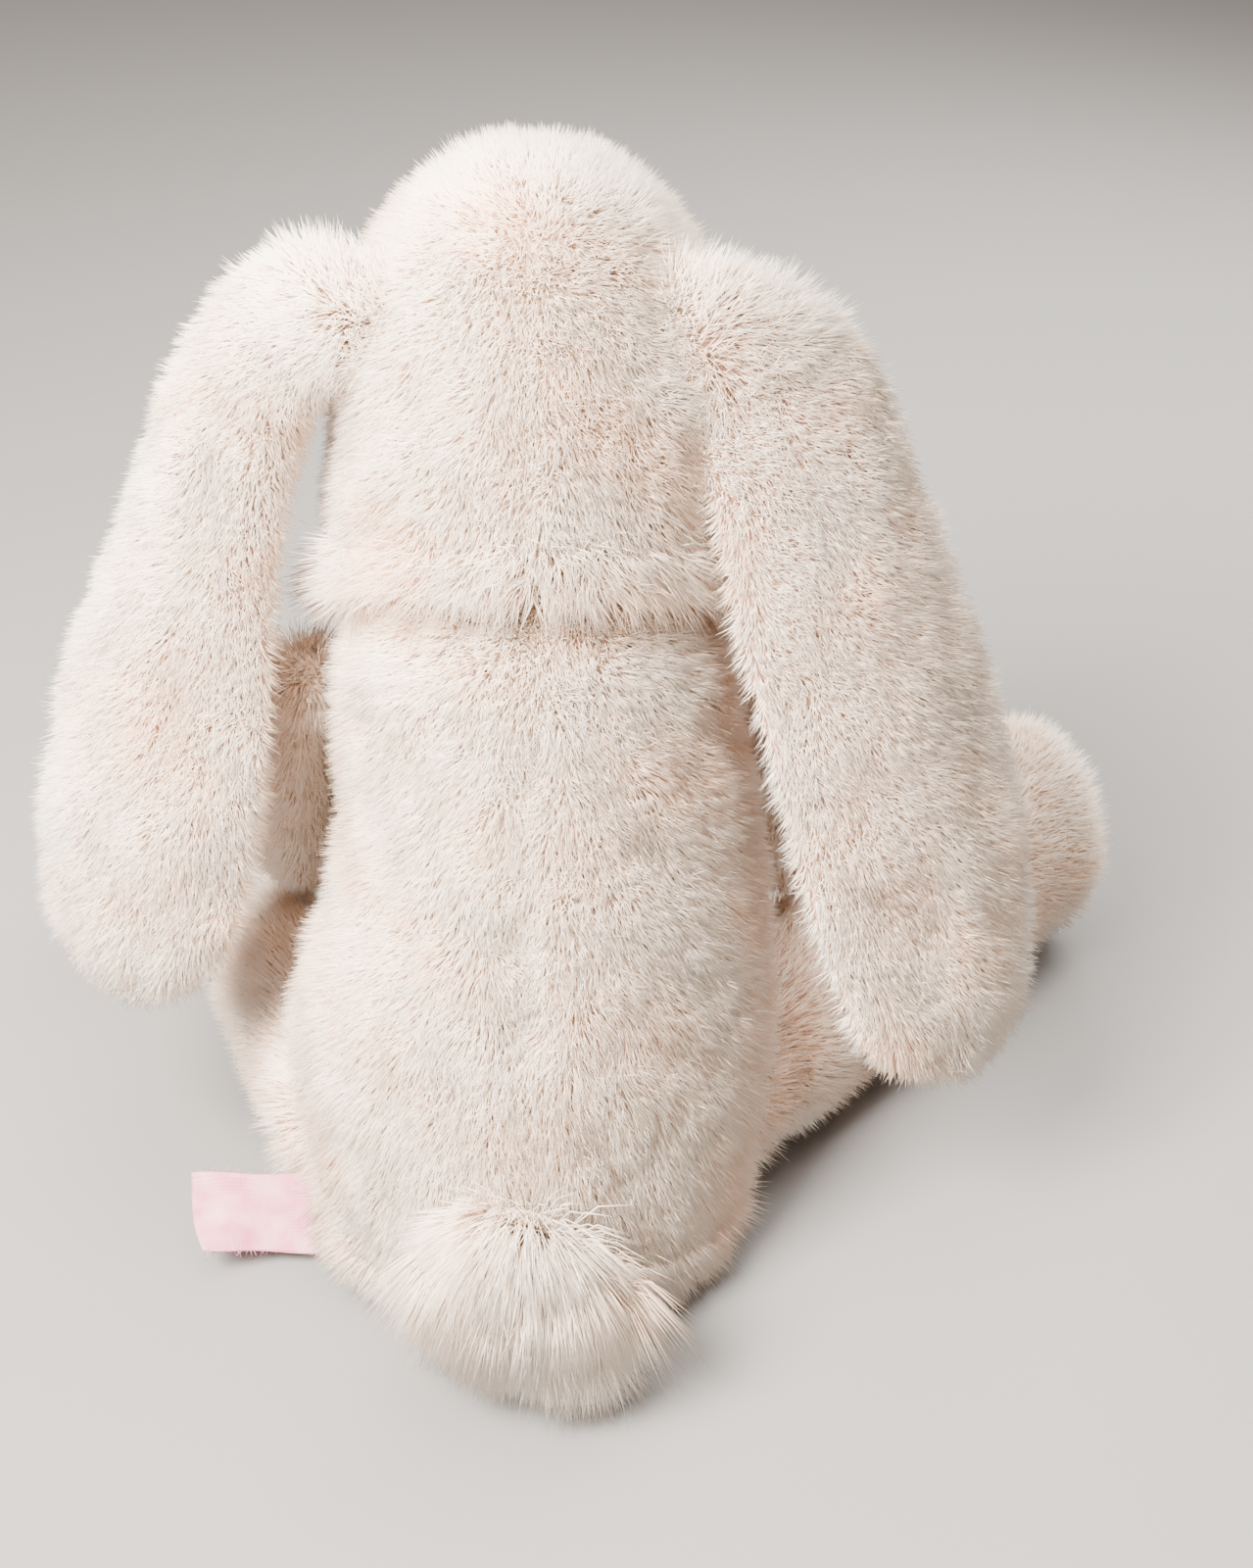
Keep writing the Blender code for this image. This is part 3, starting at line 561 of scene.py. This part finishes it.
# Snout and cheeks: two bells push the front of the face outwards.
def snout(grid):
    x, y, z = grid[..., 0] / mm, grid[..., 1] / mm, grid[..., 2] / mm
    front = np.clip(-y / 20, 0, 1)
    push = 9.0 * np.exp(-(x / 16) ** 2 - ((z - head["noseHeight"] + 4) / 15) ** 2) * front
    cheek = 2.0 * np.exp(-((np.abs(x) - 24) / 12) ** 2 - ((z - 40) / 14) ** 2) * front
    grid = grid.copy()
    grid[..., 1] -= (push + cheek) * mm
    return grid


def makeHead():
    stations = [(0, 0, z, w, d) for z, w, d in head["profile"]]
    shape = tubeGrid(stations, (0, 1, 0), (0.01, head["crown"]), head["rows"], head["ring"])
    outside = snout(shape["grid"][2:])
    # The hollow over the neck, from its top down to the seam.
    wide, deep = (radius + head["neckRoom"] for radius in head["socket"])
    turn = np.linspace(0.03, math.acos((layout["seamHeight"] + 1.5) / deep), 10)[:, None]
    angle = shape["angle"][None]
    hollow = np.stack([wide * np.sin(turn) * np.cos(angle), deep * np.sin(turn) * np.sin(angle),
                       deep * np.cos(turn) + 0 * angle], axis=2) * mm
    local = np.concatenate([hollow, outside])
    for *place, breadth, height in head["fillets"]:
        rise = height * bell(np.linalg.norm(local - np.array(place) * mm, axis=2), breadth * mm) * mm
        local = local + gridNormals(local) * rise[..., None]
    inside = np.arange(len(local))[:, None] < len(hollow) + 1
    seamAngles = (math.pi / 2, 1.5 * math.pi - 0.26, 1.5 * math.pi + 0.26)
    seam = nearSeam(angle, seamAngles)
    inFront = ease(0.1, 0.5, -np.sin(angle))
    sewn = np.clip(np.maximum(seam + 0.0 * inside, inside * 1.0), 0, 1)
    grid = stuffed("head", leaned(local, neck), sewn)
    local = upright(grid, neck)
    normal = gridNormals(grid)
    back = ease(-0.2, 0.3, np.sin(angle)) * (1 - inside)
    dent = 0.8 * bell(local[..., 0], 2.0 * mm) * back
    grid = grid - normal * (dent * mm)[..., None]
    skin = placed("head_skin", skinMesh("head_skin", grid), creamBacking)
    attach(skin, "head")
    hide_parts("head_stuffing", "head_gusset")
    bare = np.zeros(grid.shape[:2])
    for x in (head["eyeSpacing"], -head["eyeSpacing"]):
        away = np.hypot(local[..., 0] - x * mm, local[..., 2] - head["eyeHeight"] * mm)
        bare = np.maximum(bare, (1 - ease(4.2 * mm, 5.4 * mm, away)) * (local[..., 1] < 0))
    noseAway = np.hypot(local[..., 0], 1.3 * (local[..., 2] - head["noseHeight"] * mm))
    bare = np.maximum(bare, (1 - ease(4.0 * mm, 5.0 * mm, noseAway)) * (local[..., 1] < 0))
    muzzleNear = bell(local[..., 0], 20 * mm) * bell(local[..., 2] - 50 * mm, 22 * mm) * inFront
    fringe = 1 - ease(17 * mm, 34 * mm, local[..., 2])
    length = head["pile"] + (head["fringe"] - head["pile"]) * fringe - 2.6 * muzzleNear - 0.5 * dent
    out = upright(normal, np.zeros(3)) * np.array([1.0, 1.0, 0.0])
    falls = np.stack([out[..., 0] * 0.35, out[..., 1] * 0.35, -1.0 + 0.25 * fringe], axis=2)
    x, z = local[..., 0] / mm, local[..., 2] / mm
    towards = np.stack([x * 0.02, 0 * x, (z - 46) * 0.03], axis=2)
    falls *= (1 + 0.7 * fringe)[..., None]
    flow = leaned(falls * (1 - 0.7 * muzzleNear[..., None]) + towards * muzzleNear[..., None], np.zeros(3))
    fields = pileFields(grid, flow, length)
    # Painted warm shade: the pile is tinted warmer on the fringe under the head and at the head's sides below
    # the ears.
    fields["tint"] = -0.25 * fringe - 0.22 * ease(0.8, 1.0, np.abs(np.cos(angle)))
    shown = (1 - bare) * (1 - inside)
    for side, region, seed in (("left", np.cos(angle) > 0, 21), ("right", np.cos(angle) <= 0, 22)):
        roots = scatter(fields, shown * region, head["strands"], np.random.default_rng(seed))
        coat = strands("head_" + side + "_fur", roots, softLook, creamFur, seed)
        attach(coat, "head")
        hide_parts("head_" + side + "_panel")
    return local


ears = {
    "left": {"facing": (0.2, 1.0, 0.0), "curl": 3.5, "crest": 0.1, "stations": [
        (19, 15, 63.5, 9, 4), (30.5, 16.5, 64.5, 9.8, 5), (35, 16, 64.5, 10.8, 5), (41, 14.5, 62.5, 11.8, 5),
        (48.5, 13, 53, 11.5, 5), (53.8, 12, 38, 12.3, 5), (59, 11, 20, 14.8, 5), (63.2, 10.5, 2, 17.8, 5),
        (66, 10.5, -15, 18.7, 5), (68, 10.5, -33, 17.2, 5), (70, 10.5, -51, 14, 5)]},
    "right": {"facing": (-0.45, 1.0, 0.0), "curl": 8.0, "crest": 0.12, "stations": [
        (-19, 16, 64, 9, 4), (-29, 18, 62.5, 10, 5), (-33.5, 17, 59.5, 12.5, 5), (-38.6, 15.5, 55, 15.5, 5),
        (-43.5, 15.5, 48, 18, 5), (-48.3, 15.5, 34, 19, 5), (-53, 15.5, 18.5, 20.7, 5),
        (-58, 15, 2.5, 21.5, 5), (-62.8, 14, -14.5, 21.5, 5), (-66.5, 13.5, -31.5, 20.8, 5),
        (-69.5, 13, -46, 18.5, 5), (-73.3, 12.5, -65, 14.5, 5)]},
    "caps": (6, 15), "rows": (8, 56, 14), "ring": 72, "pile": 4.8, "velour": 1.7,
    "strands": 40000, "velourStrands": 14000, "bendLength": 16.0,
}


# An ear is a flat tube. Its outer part curls forwards past a crest line, so that the ear
# has a ridge along it, as a soft fold has.
def makeEar(side):
    spec = ears[side]
    way = 1 if side == "left" else -1
    shape = tubeGrid(spec["stations"], spec["facing"], ears["caps"], ears["rows"], ears["ring"])
    grid, angle = shape["grid"], shape["angle"][None]
    sideways = np.einsum("ijk,ik->ij", grid - shape["path"][:, None], shape["wide"])
    sideways *= way * np.sign(shape["wide"][len(grid) // 2, 0])
    share = sideways / np.maximum(shape["width"], 1e-6)[:, None]
    settled = ease(18 * mm, 60 * mm, shape["along"])[:, None]
    curl = spec["curl"] * np.maximum(share - spec["crest"], 0) ** 1.3 * settled * mm
    grid = grid - curl[..., None] * np.array([0.0, 1.0, 0.0])
    fold = 0.9 * bell(share - spec["crest"] + 0.35, 0.16) * settled * (np.sin(angle) > 0)
    rumple = swell(grid, 30 * mm, 31 if side == "left" else 32) * 0.9 * settled
    edge = bell(np.sin(angle), 0.12)
    sewn = np.clip(edge + 0 * settled + (1 - ease(2 * mm, 8 * mm, shape["along"]))[:, None], 0, 1)
    grid = leaned(grid, neck)
    grid = grid + gridNormals(grid) * ((rumple - fold) * mm * (1 - edge))[..., None]
    grid = stuffed("ear_" + side, grid, sewn)
    normal = gridNormals(grid)
    skin = placed("ear_" + side + "_skin", skinMesh("ear_" + side + "_skin", grid), peachBacking)
    outwards = shape["path"][8] - shape["path"][0]
    outwards = leanTurn @ (outwards / np.linalg.norm(outwards))
    tangent = np.broadcast_to((shape["tangent"] @ leanTurn.T)[:, None], grid.shape)
    outFacing = np.sin(angle) + 0 * settled
    rim = bell(outFacing, 0.35)
    length = ears["pile"] * (1 - 0.15 * rim)
    fields = pileFields(grid, tangent + 0.25 * normal * rim[..., None], length)
    weight = ease(-0.30, -0.12, outFacing)
    roots = scatter(fields, weight, ears["strands"], np.random.default_rng(41 + way))
    coat = strands("ear_" + side + "_fur", roots, softLook, creamFur, 41 + way)
    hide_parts("ear_" + side + "_outer")
    fields = pileFields(grid, tangent, ears["velour"])
    weight = 1 - ease(-0.35, -0.12, outFacing)
    roots = scatter(fields, weight, ears["velourStrands"], np.random.default_rng(51 + way))
    lining = strands("ear_" + side + "_velour", roots, velourLook, peachVelour, 51 + way)
    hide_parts("ear_" + side + "_lining")
    for piece in (skin, coat, lining):
        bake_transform(piece)


arms = {
    "shoulder": (41.5, -10.0, 65.0), "drop": (0.10, -0.62, -0.78), "shoulderRadius": 7.6, "pawCap": 9.5,
    # distance from the joint, half width, half thickness
    "stations": ((-7.6, 7.6, 7.6), (0, 7.6, 7.6), (16, 8.6, 8.2), (32, 9.6, 8.8), (47, 9.6, 8.8)),
    "rows": (8, 22, 12), "ring": 48, "pile": 4.4, "strands": 12000,
}


def makeArm(side):
    way = 1 if side == "left" else -1
    x, y, z = arms["shoulder"]
    dx, dy, dz = arms["drop"]
    stations = [(way * (x + dx * max(s, 0)), y + dy * s, z + dz * s, w, d) for s, w, d in arms["stations"]]
    caps = (arms["shoulderRadius"], arms["pawCap"])
    shape = tubeGrid(stations, (0, -1, 0), caps, arms["rows"], arms["ring"])
    grid = leaned(shape["grid"], pelvis)
    angle = shape["angle"][None]
    seam = bell(np.angle(np.exp(2j * (angle - math.pi / 2))) / 2, 0.08)
    sewn = np.clip(seam + (1 - ease(2 * mm, 8 * mm, shape["along"]))[:, None], 0, 1)
    grid = stuffed("arm_" + side, grid, sewn)
    skin = placed("arm_" + side + "_skin", skinMesh("arm_" + side + "_skin", grid), creamBacking)
    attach(skin, "arm_" + side)
    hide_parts("arm_" + side + "_stuffing", "arm_" + side + "_inner")
    tangent = np.broadcast_to((shape["tangent"] @ leanTurn.T)[:, None], grid.shape)
    fields = pileFields(grid, tangent, arms["pile"])
    roots = scatter(fields, np.ones(grid.shape[:2]), arms["strands"], np.random.default_rng(61 + way))
    coat = strands("arm_" + side + "_fur", roots, softLook, creamFur, 61 + way)
    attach(coat, "arm_" + side)
    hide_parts("arm_" + side + "_outer")


legs = {
    "splay": {"left": 24.0, "right": 44.0}, "stretch": {"left": 1.0, "right": 1.03},
    # distance from the hip, half width, half height, height of the middle
    "stations": ((18, 19, 18.5, 19), (46, 17, 17, 17.5),
                 (71, 15, 15, 15.5), (85, 16, 20, 20.5), (97, 17.5, 23.5, 25), (111, 17.5, 23.5, 26)),
    "toeCap": 13, "rows": (10, 44, 16), "ring": 72, "pile": 5.0, "velour": 1.3,
    "strands": 36000, "soleStrands": 6000,
}


def makeLeg(side):
    way = 1 if side == "left" else -1
    splay = math.radians(legs["splay"][side])
    x, y, z, radius = layout["hips"][side]
    lengthwise = np.array([way * math.sin(splay), -math.cos(splay)]) * legs["stretch"][side]
    stations = [(x + lengthwise[0] * s, y + lengthwise[1] * s, height, w, h) for s, w, h, height in
                ((-radius, radius, radius, z), (0, radius, radius, z)) + legs["stations"]]
    shape = tubeGrid(stations, (0, 0, 1), (radius, legs["toeCap"]), legs["rows"], legs["ring"])
    grid, angle = shape["grid"], shape["angle"][None]
    inBody = 1 - ease(14 * mm, 24 * mm, shape["along"])[:, None]
    seam = bell(np.angle(np.exp(2j * (angle - math.pi / 2))) / 2, 0.06)
    sewn = np.clip(np.maximum(seam + 0 * inBody, inBody), 0, 1)
    grid = stuffed("leg_" + side, grid, sewn)
    grid[..., 2] = np.maximum(grid[..., 2], layout["floor"] + 0.15 * mm)
    skin = placed("leg_" + side + "_skin", skinMesh("leg_" + side + "_skin", grid), creamBacking)
    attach(skin, "leg_" + side)
    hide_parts("leg_" + side + "_stuffing", "leg_" + side + "_inner")
    tangent = np.broadcast_to(shape["tangent"][:, None], grid.shape)
    onFloor = 1 - ease(0.6 * mm, 2.0 * mm, grid[..., 2])
    soleStart = shape["along"][-1] - 7.5 * mm
    atSole = ease(soleStart, soleStart + 1.5 * mm, shape["along"])[:, None] + 0 * onFloor
    buried = 1 - ease(16 * mm, 24 * mm, np.abs(grid[..., 0])) * ease(-8 * mm, 0 * mm, grid[..., 0] * way)
    shown = (1 - onFloor) * (1 - atSole) * (1 - 0.9 * buried * inBody)
    # Painted warm shade: the whole leg pile is tinted warmer, as the legs lie in the shade of the ears.
    fields = {**pileFields(grid, tangent, legs["pile"]), "tint": np.full(grid.shape[:2], -0.2)}
    roots = scatter(fields, shown, legs["strands"], np.random.default_rng(71 + way))
    coat = strands("leg_" + side + "_fur", roots, softLook, creamFur, 71 + way)
    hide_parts("leg_" + side + "_outer")
    fields = pileFields(grid, fixedWay(grid, (0, 0, -1)), legs["velour"])
    roots = scatter(fields, (1 - onFloor) * atSole, legs["soleStrands"], np.random.default_rng(81 + way))
    sole = strands("leg_" + side + "_sole_velour", roots, velourLook, peachVelour, 81 + way)
    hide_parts("leg_" + side + "_sole")
    for piece in (coat, sole):
        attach(piece, "leg_" + side)


tail = {
    "root": (0.0, 33.5, 20.5), "turn": 0.35,
    # distance behind the root, drop below it, half width, half height
    "stations": ((-4, -1.5, 12.5, 10), (2, 0, 15, 12), (7.5, 1.5, 15.8, 12.5), (13, 4, 12.5, 10)),
    "caps": (5, 8), "rows": (6, 16, 14), "ring": 64, "pile": 11.5, "strands": 18000,
}
tailLook = {**softLook, "leaning": 1.15, "loose": 0.30, "comb": 14.0, "sway": 0.35, "tuft": 5.4, "bunch": 0.9,
            "radius": 0.17, "bent": 0.20, "droop": 0.14, "guards": 0.1, "guardReach": 1.25, "uneven": 0.45}


def makeTail():
    x, y, z = tail["root"]
    stations = [(x + tail["turn"] * s, y + s, z - drop, w, h) for s, drop, w, h in tail["stations"]]
    shape = tubeGrid(stations, (0, 0, 1), tail["caps"], tail["rows"], tail["ring"])
    grid = stuffed("tail", shape["grid"], (1 - ease(1 * mm, 6 * mm, shape["along"]))[:, None]
                   + np.zeros(shape["grid"].shape[:2]))
    skin = placed("tail_skin", skinMesh("tail_skin", grid), creamBacking)
    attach(skin, "tail")
    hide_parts("tail_stuffing")
    fan = grid[..., 0] / (26 * mm)
    flow = np.stack([fan, 1 + 0 * fan, -0.6 - 0.4 * ease(40 * mm, 50 * mm, grid[..., 1])], axis=2)
    shown = ease(4.5 * mm, 7.5 * mm, shape["along"])[:, None] * ease(0.2 * mm, 3 * mm, grid[..., 2])
    length = tail["pile"] * (0.75 + 0.25 * ease(34 * mm, 50 * mm, grid[..., 1]))
    roots = scatter(pileFields(grid, flow, length), shown, tail["strands"], np.random.default_rng(91))
    coat = strands("tail_fur", roots, tailLook, creamFur, 91)
    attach(coat, "tail")
    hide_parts("tail_cover")


tag = {
    "root": (36.5, 9.0, 7.5), "along": (1.0, 0.0, 0.0), "across": (0.0, -0.74, 0.67),
    "length": 26.0, "width": 14.0, "gap": 0.9, "fold": 1.2, "thick": 0.16, "wave": 1.1,
    "cornerLift": 5.5, "cornerBack": 3.5, "rows": 90, "columns": 28,
    "threads": 70, "threadLength": 2.2, "threadRadius": 0.07,
}


# A ribbon folded in half with its two cut ends caught in the seam. It runs out, round a half circle
# at the fold, and back. Each layer waves by the same sine, and a corner of the fold curls up.
def makeTag():
    half, gap, fold = tag["length"], tag["gap"], tag["fold"]
    s = np.linspace(0, 1, tag["rows"])[:, None]
    side = np.linspace(-1, 1, tag["columns"])[None]
    straight = half - fold
    bend = math.pi * fold * 0.75
    total = 2 * straight + bend
    run = s * total
    turn = np.clip((run - straight) / bend, 0, 1) * math.pi
    out = np.minimum(run, straight) + fold * np.sin(turn) - np.maximum(run - straight - bend, 0)
    rise = gap * np.cos(turn) / 2
    share = np.clip(out / half, 0, 1) + 0 * side
    ripple = tag["wave"] * np.sin(share * 2.2 * math.pi + 0.5 * side) * share
    corner = (share * (1 - side) / 2) ** 3
    ripple = ripple - 2.2 * (share * (side + 1) / 2) ** 3 - tag["cornerLift"] * corner
    along = np.array(tag["along"])
    across = np.array(tag["across"]) / np.linalg.norm(tag["across"])
    normal = np.cross(along, across)
    wide = side * tag["width"] / 2 * (1 + 0.03 * np.sin(9 * share))
    out = out - tag["cornerBack"] * corner
    sheet = (np.array(tag["root"]) + out[..., None] * along + wide[..., None] * across
             + (rise + ripple)[..., None] * normal)
    sheet = sheet * mm
    way = np.cross(np.gradient(sheet, axis=0), np.gradient(sheet, axis=1))
    way /= np.linalg.norm(way, axis=2, keepdims=True)
    # Two faces a thickness apart, joined round the edge.
    rows, columns = sheet.shape[:2]
    index = np.arange(rows * columns).reshape(rows, columns)
    top, low = sheet + way * tag["thick"] * mm / 2, sheet - way * tag["thick"] * mm / 2
    quads = np.stack([index[:-1, :-1], index[1:, :-1], index[1:, 1:], index[:-1, 1:]], axis=-1).reshape(-1, 4)
    border = np.concatenate([index[:-1, 0], index[-1, :-1], index[:0:-1, -1], index[0, :0:-1]])
    after = np.roll(border, -1)
    count = rows * columns
    rim = np.stack([border, border + count, after + count, after], axis=1)
    faces = np.concatenate([quads, quads[:, ::-1] + count, rim])
    mesh = arrayMesh("tag_ribbon", np.concatenate([top.reshape(-1, 3), low.reshape(-1, 3)]), faces)
    ribbon = placed("tag_ribbon", mesh, ribbonMaterial())
    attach(ribbon, "tag")
    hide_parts("seam_tag")
    # Frayed threads stand out of the two long edges near the fold.
    rng = np.random.default_rng(95)
    row = rng.integers(rows // 5, rows - rows // 5, tag["threads"])
    edge = rng.integers(0, 2, tag["threads"]) * (columns - 1)
    start = sheet[row, edge]
    outward = across * np.where(edge > 0, 1, -1)[:, None] + rng.normal(size=(tag["threads"], 3)) * 0.5
    outward /= np.linalg.norm(outward, axis=1, keepdims=True)
    tip = start + outward * (tag["threadLength"] * rng.uniform(0.3, 1, tag["threads"]) * mm)[:, None]
    sideways = np.cross(outward, along)
    sideways /= np.linalg.norm(sideways, axis=1, keepdims=True)
    other = np.cross(outward, sideways)
    base = (start - outward * 0.3 * mm)[:, None] + threeSides(sideways, other) * tag["threadRadius"] * mm
    points = np.concatenate([base, tip[:, None]], axis=1)
    local = np.array([(0, 2, 1), (0, 1, 3), (1, 2, 3), (2, 0, 3)])
    faces = (local[None] + 4 * np.arange(tag["threads"])[:, None, None]).reshape(-1, 3)
    mesh = arrayMesh("tag_threads", points.reshape(-1, 3), faces)
    threads = placed("tag_threads", mesh, ribbon.data.materials[0])
    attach(threads, "tag")


# Woven ribbon: two crossed sets of fine waves for the threads, over soft patches of pink.
def ribbonMaterial():
    material, tree, shader = newMaterial("ribbon_weave")
    place = tree.nodes.new("ShaderNodeTexCoord")
    patches = tree.nodes.new("ShaderNodeTexNoise")
    patches.inputs["Scale"].default_value = 220.0
    colour = rampNode(tree, [(0.3, (0.62, 0.17, 0.26)), (0.7, (0.80, 0.38, 0.46))])
    bump = tree.nodes.new("ShaderNodeBump")
    bump.inputs["Strength"].default_value = 0.5
    bump.inputs["Distance"].default_value = 0.0001
    height = tree.nodes.new("ShaderNodeMath")
    height.operation = "ADD"
    links = tree.links
    for port, direction in ((0, "X"), (1, "Y")):
        threads = tree.nodes.new("ShaderNodeTexWave")
        threads.bands_direction = direction
        threads.inputs["Scale"].default_value = 700.0
        links.new(place.outputs["Object"], threads.inputs["Vector"])
        links.new(threads.outputs["Fac"], height.inputs[port])
    links.new(place.outputs["Object"], patches.inputs["Vector"])
    links.new(patches.outputs["Fac"], colour.inputs["Fac"])
    links.new(colour.outputs["Color"], shader.inputs["Base Color"])
    links.new(height.outputs["Value"], bump.inputs["Height"])
    links.new(bump.outputs["Normal"], shader.inputs["Normal"])
    shader.inputs["Roughness"].default_value = 0.6
    shader.inputs["Sheen Weight"].default_value = 0.2
    return material


face = {
    "eyeProfile": [(3.6, -1.4), (4.3, -0.4), (4.6, 0.9), (4.4, 2.1), (3.7, 3.2), (2.5, 4.0), (1.0, 4.4)],
    "noseProfile": [(0.8, -1.2), (0.97, -0.2), (1.0, 0.8), (0.93, 1.7), (0.72, 2.4), (0.42, 2.8),
                    (0.12, 2.9)],
    "noseHalf": (4.8, 3.4), "noseTop": 0.28, "stitch": 0.6, "ridge": 0.1,
    "threadRise": 1.5, "threadRadius": 0.33,
    # each stitch of the mouth as places across the face and up from the nose
    "mouth": [[(0, -3.2), (0.1, -5.2), (0, -7.4)], [(0, -7.2), (-2.6, -9.0), (-5.4, -8.6)],
              [(0, -7.2), (2.6, -9.0), (5.4, -8.6)]],
}


# The head's surface and its outward way at a place seen from the front.
def onFace(local, x, z):
    away = (local[..., 0] - x * mm) ** 2 + (local[..., 2] - z * mm) ** 2 + (local[..., 1] > 0)
    near = np.argsort(away.ravel())[:6]
    out = gridNormals(local).reshape(-1, 3)[near].mean(axis=0)
    return np.array([x * mm, local.reshape(-1, 3)[near, 1].mean(), z * mm]), out / np.linalg.norm(out)


# Rings that follow a smooth profile of radius and height, round an axis that leaves the face.
def domeGrid(spot, out, profile, half, ring):
    radius, height = curveThrough(profile, np.linspace(0, len(profile) - 1, 26)).T[:, :, None] * mm
    turn = np.arange(ring) * 2 * math.pi / ring
    right = np.cross(np.array([0, 0, 1.0]), out)
    right /= np.linalg.norm(right)
    up = np.cross(out, right)
    across = half[0] * (1 + half[2] * np.sin(turn)) * np.cos(turn) * radius
    rise = half[1] * np.sin(turn) * radius
    ridge = face["ridge"] * half[2] / face["noseTop"] * mm
    ridge = ridge * np.cos(across / mm * 2 * math.pi / face["stitch"])
    return spot + across[..., None] * right + rise[..., None] * up + (height + ridge)[..., None] * out


def makeFace(local):
    beads = mouldedMaterial("eye_bead", (0.012, 0.009, 0.008), 0.05, coat=1.0)
    for name, x in (("eye_left", head["eyeSpacing"]), ("eye_right", -head["eyeSpacing"])):
        grid = domeGrid(*onFace(local, x, head["eyeHeight"]), face["eyeProfile"], (1, 1, 0), 64)
        bead = placed(name + "_bead", skinMesh(name + "_bead", leaned(grid, neck)), beads)
        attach(bead, "head")
        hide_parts(name)
    grid = domeGrid(*onFace(local, 0.0, head["noseHeight"]), face["noseProfile"],
                    (*face["noseHalf"], face["noseTop"]), 240)
    points, faces = [], []
    grids = [grid]
    for stitch in face["mouth"]:
        stations = []
        for across, up in curveThrough(stitch, np.linspace(0, 2, 9)):
            spot, out = onFace(local, across, head["noseHeight"] + up)
            place = spot / mm + out * face["threadRise"]
            stations.append((*place, face["threadRadius"], face["threadRadius"]))
        grids.append(tubeGrid(stations, (0, -1, 0), (0.3, 0.3), (4, 20, 4), 12)["grid"])
    count = 0
    for part in grids:
        points.append(np.concatenate([part.reshape(-1, 3), [part[0].mean(axis=0)], [part[-1].mean(axis=0)]]))
        faces.append(gridFaces(*part.shape[:2]) + count)
        count += len(points[-1])
    mesh = arrayMesh("nose_stitches", leaned(np.concatenate(points), neck), np.concatenate(faces))
    thread = backingMaterial("pink_stitch", (0.66, 0.20, 0.22), (0.80, 0.33, 0.35))
    nose = placed("nose_stitches", mesh, thread)
    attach(nose, "head")
    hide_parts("nose")
    print("face ready")


def dressKept():
    for name in ("eye_washer_left", "eye_washer_right"):
        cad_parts[name].data.materials[0] = washerMaterial


view = {"target": (-16.0, 0.0, 93.0), "elevation": 32.0, "distance": 400.0, "lens": 55.8, "sensor": 36.0}


def makeCamera():
    camera = bpy.data.cameras.new("camera")
    camera.lens, camera.sensor_width, camera.sensor_fit = view["lens"], view["sensor"], "AUTO"
    camera.clip_start = 0.01
    item = bpy.data.objects.new("camera", camera)
    tilt = math.radians(view["elevation"])
    away = Vector((0, math.cos(tilt), math.sin(tilt)))
    item.location = Vector(view["target"]) * mm + away * view["distance"] * mm
    item.rotation_euler = away.to_track_quat("Z", "Y").to_euler()
    bpy.context.scene.collection.objects.link(item)
    bpy.context.scene.camera = item


lighting = {
    # place and aim in millimetres, side of the square in millimetres, watts, colour
    "key": ((320, 330, 540), (0, 0, 80), 330, 34.0, (1.0, 0.93, 0.86)),
    "front": ((-300, -420, 480), (0, 0, 80), 500, 10.0, (1.0, 0.96, 0.92)),
    "overhead": ((0, 60, 750), (0, 0, 80), 600, 8.0, (1.0, 0.95, 0.90)),
    "world": ((1.0, 0.87, 0.77), 0.40),
}


def makeLights():
    for name in ("key", "front", "overhead"):
        place, aim, side, watts, colour = lighting[name]
        lamp = bpy.data.lights.new(name + "_light", "AREA")
        lamp.size, lamp.energy, lamp.color = side * mm, watts, colour
        item = bpy.data.objects.new(name + "_light", lamp)
        item.location = Vector(place) * mm
        item.rotation_euler = (Vector(place) - Vector(aim)).to_track_quat("Z", "Y").to_euler()
        bpy.context.scene.collection.objects.link(item)
    world = bpy.data.worlds.new("studio")
    world.use_nodes = True
    colour, strength = lighting["world"]
    world.node_tree.nodes["Background"].inputs["Color"].default_value = (*colour, 1.0)
    world.node_tree.nodes["Background"].inputs["Strength"].default_value = strength
    bpy.context.scene.world = world


def makeFloor():
    side, height = 6.0, layout["floor"]
    corners = np.array([(x * side, y * side, height) for x, y in ((-1, -1), (1, -1), (1, 1), (-1, 1))])
    material, tree, shader = newMaterial("floor_paper")
    shader.inputs["Base Color"].default_value = (0.24, 0.235, 0.23, 1.0)
    shader.inputs["Roughness"].default_value = 0.9
    floor = placed("floor", arrayMesh("floor", corners, np.array([[0, 1, 2, 3]])), material)


makeCamera()
makeLights()
makeFloor()
print("stage ready")
makeTrunk()
makeFace(makeHead())
for side in ("left", "right"):
    makeEar(side)
    makeArm(side)
    makeLeg(side)
makeTail()
makeTag()
dressKept()
print("bunny ready")
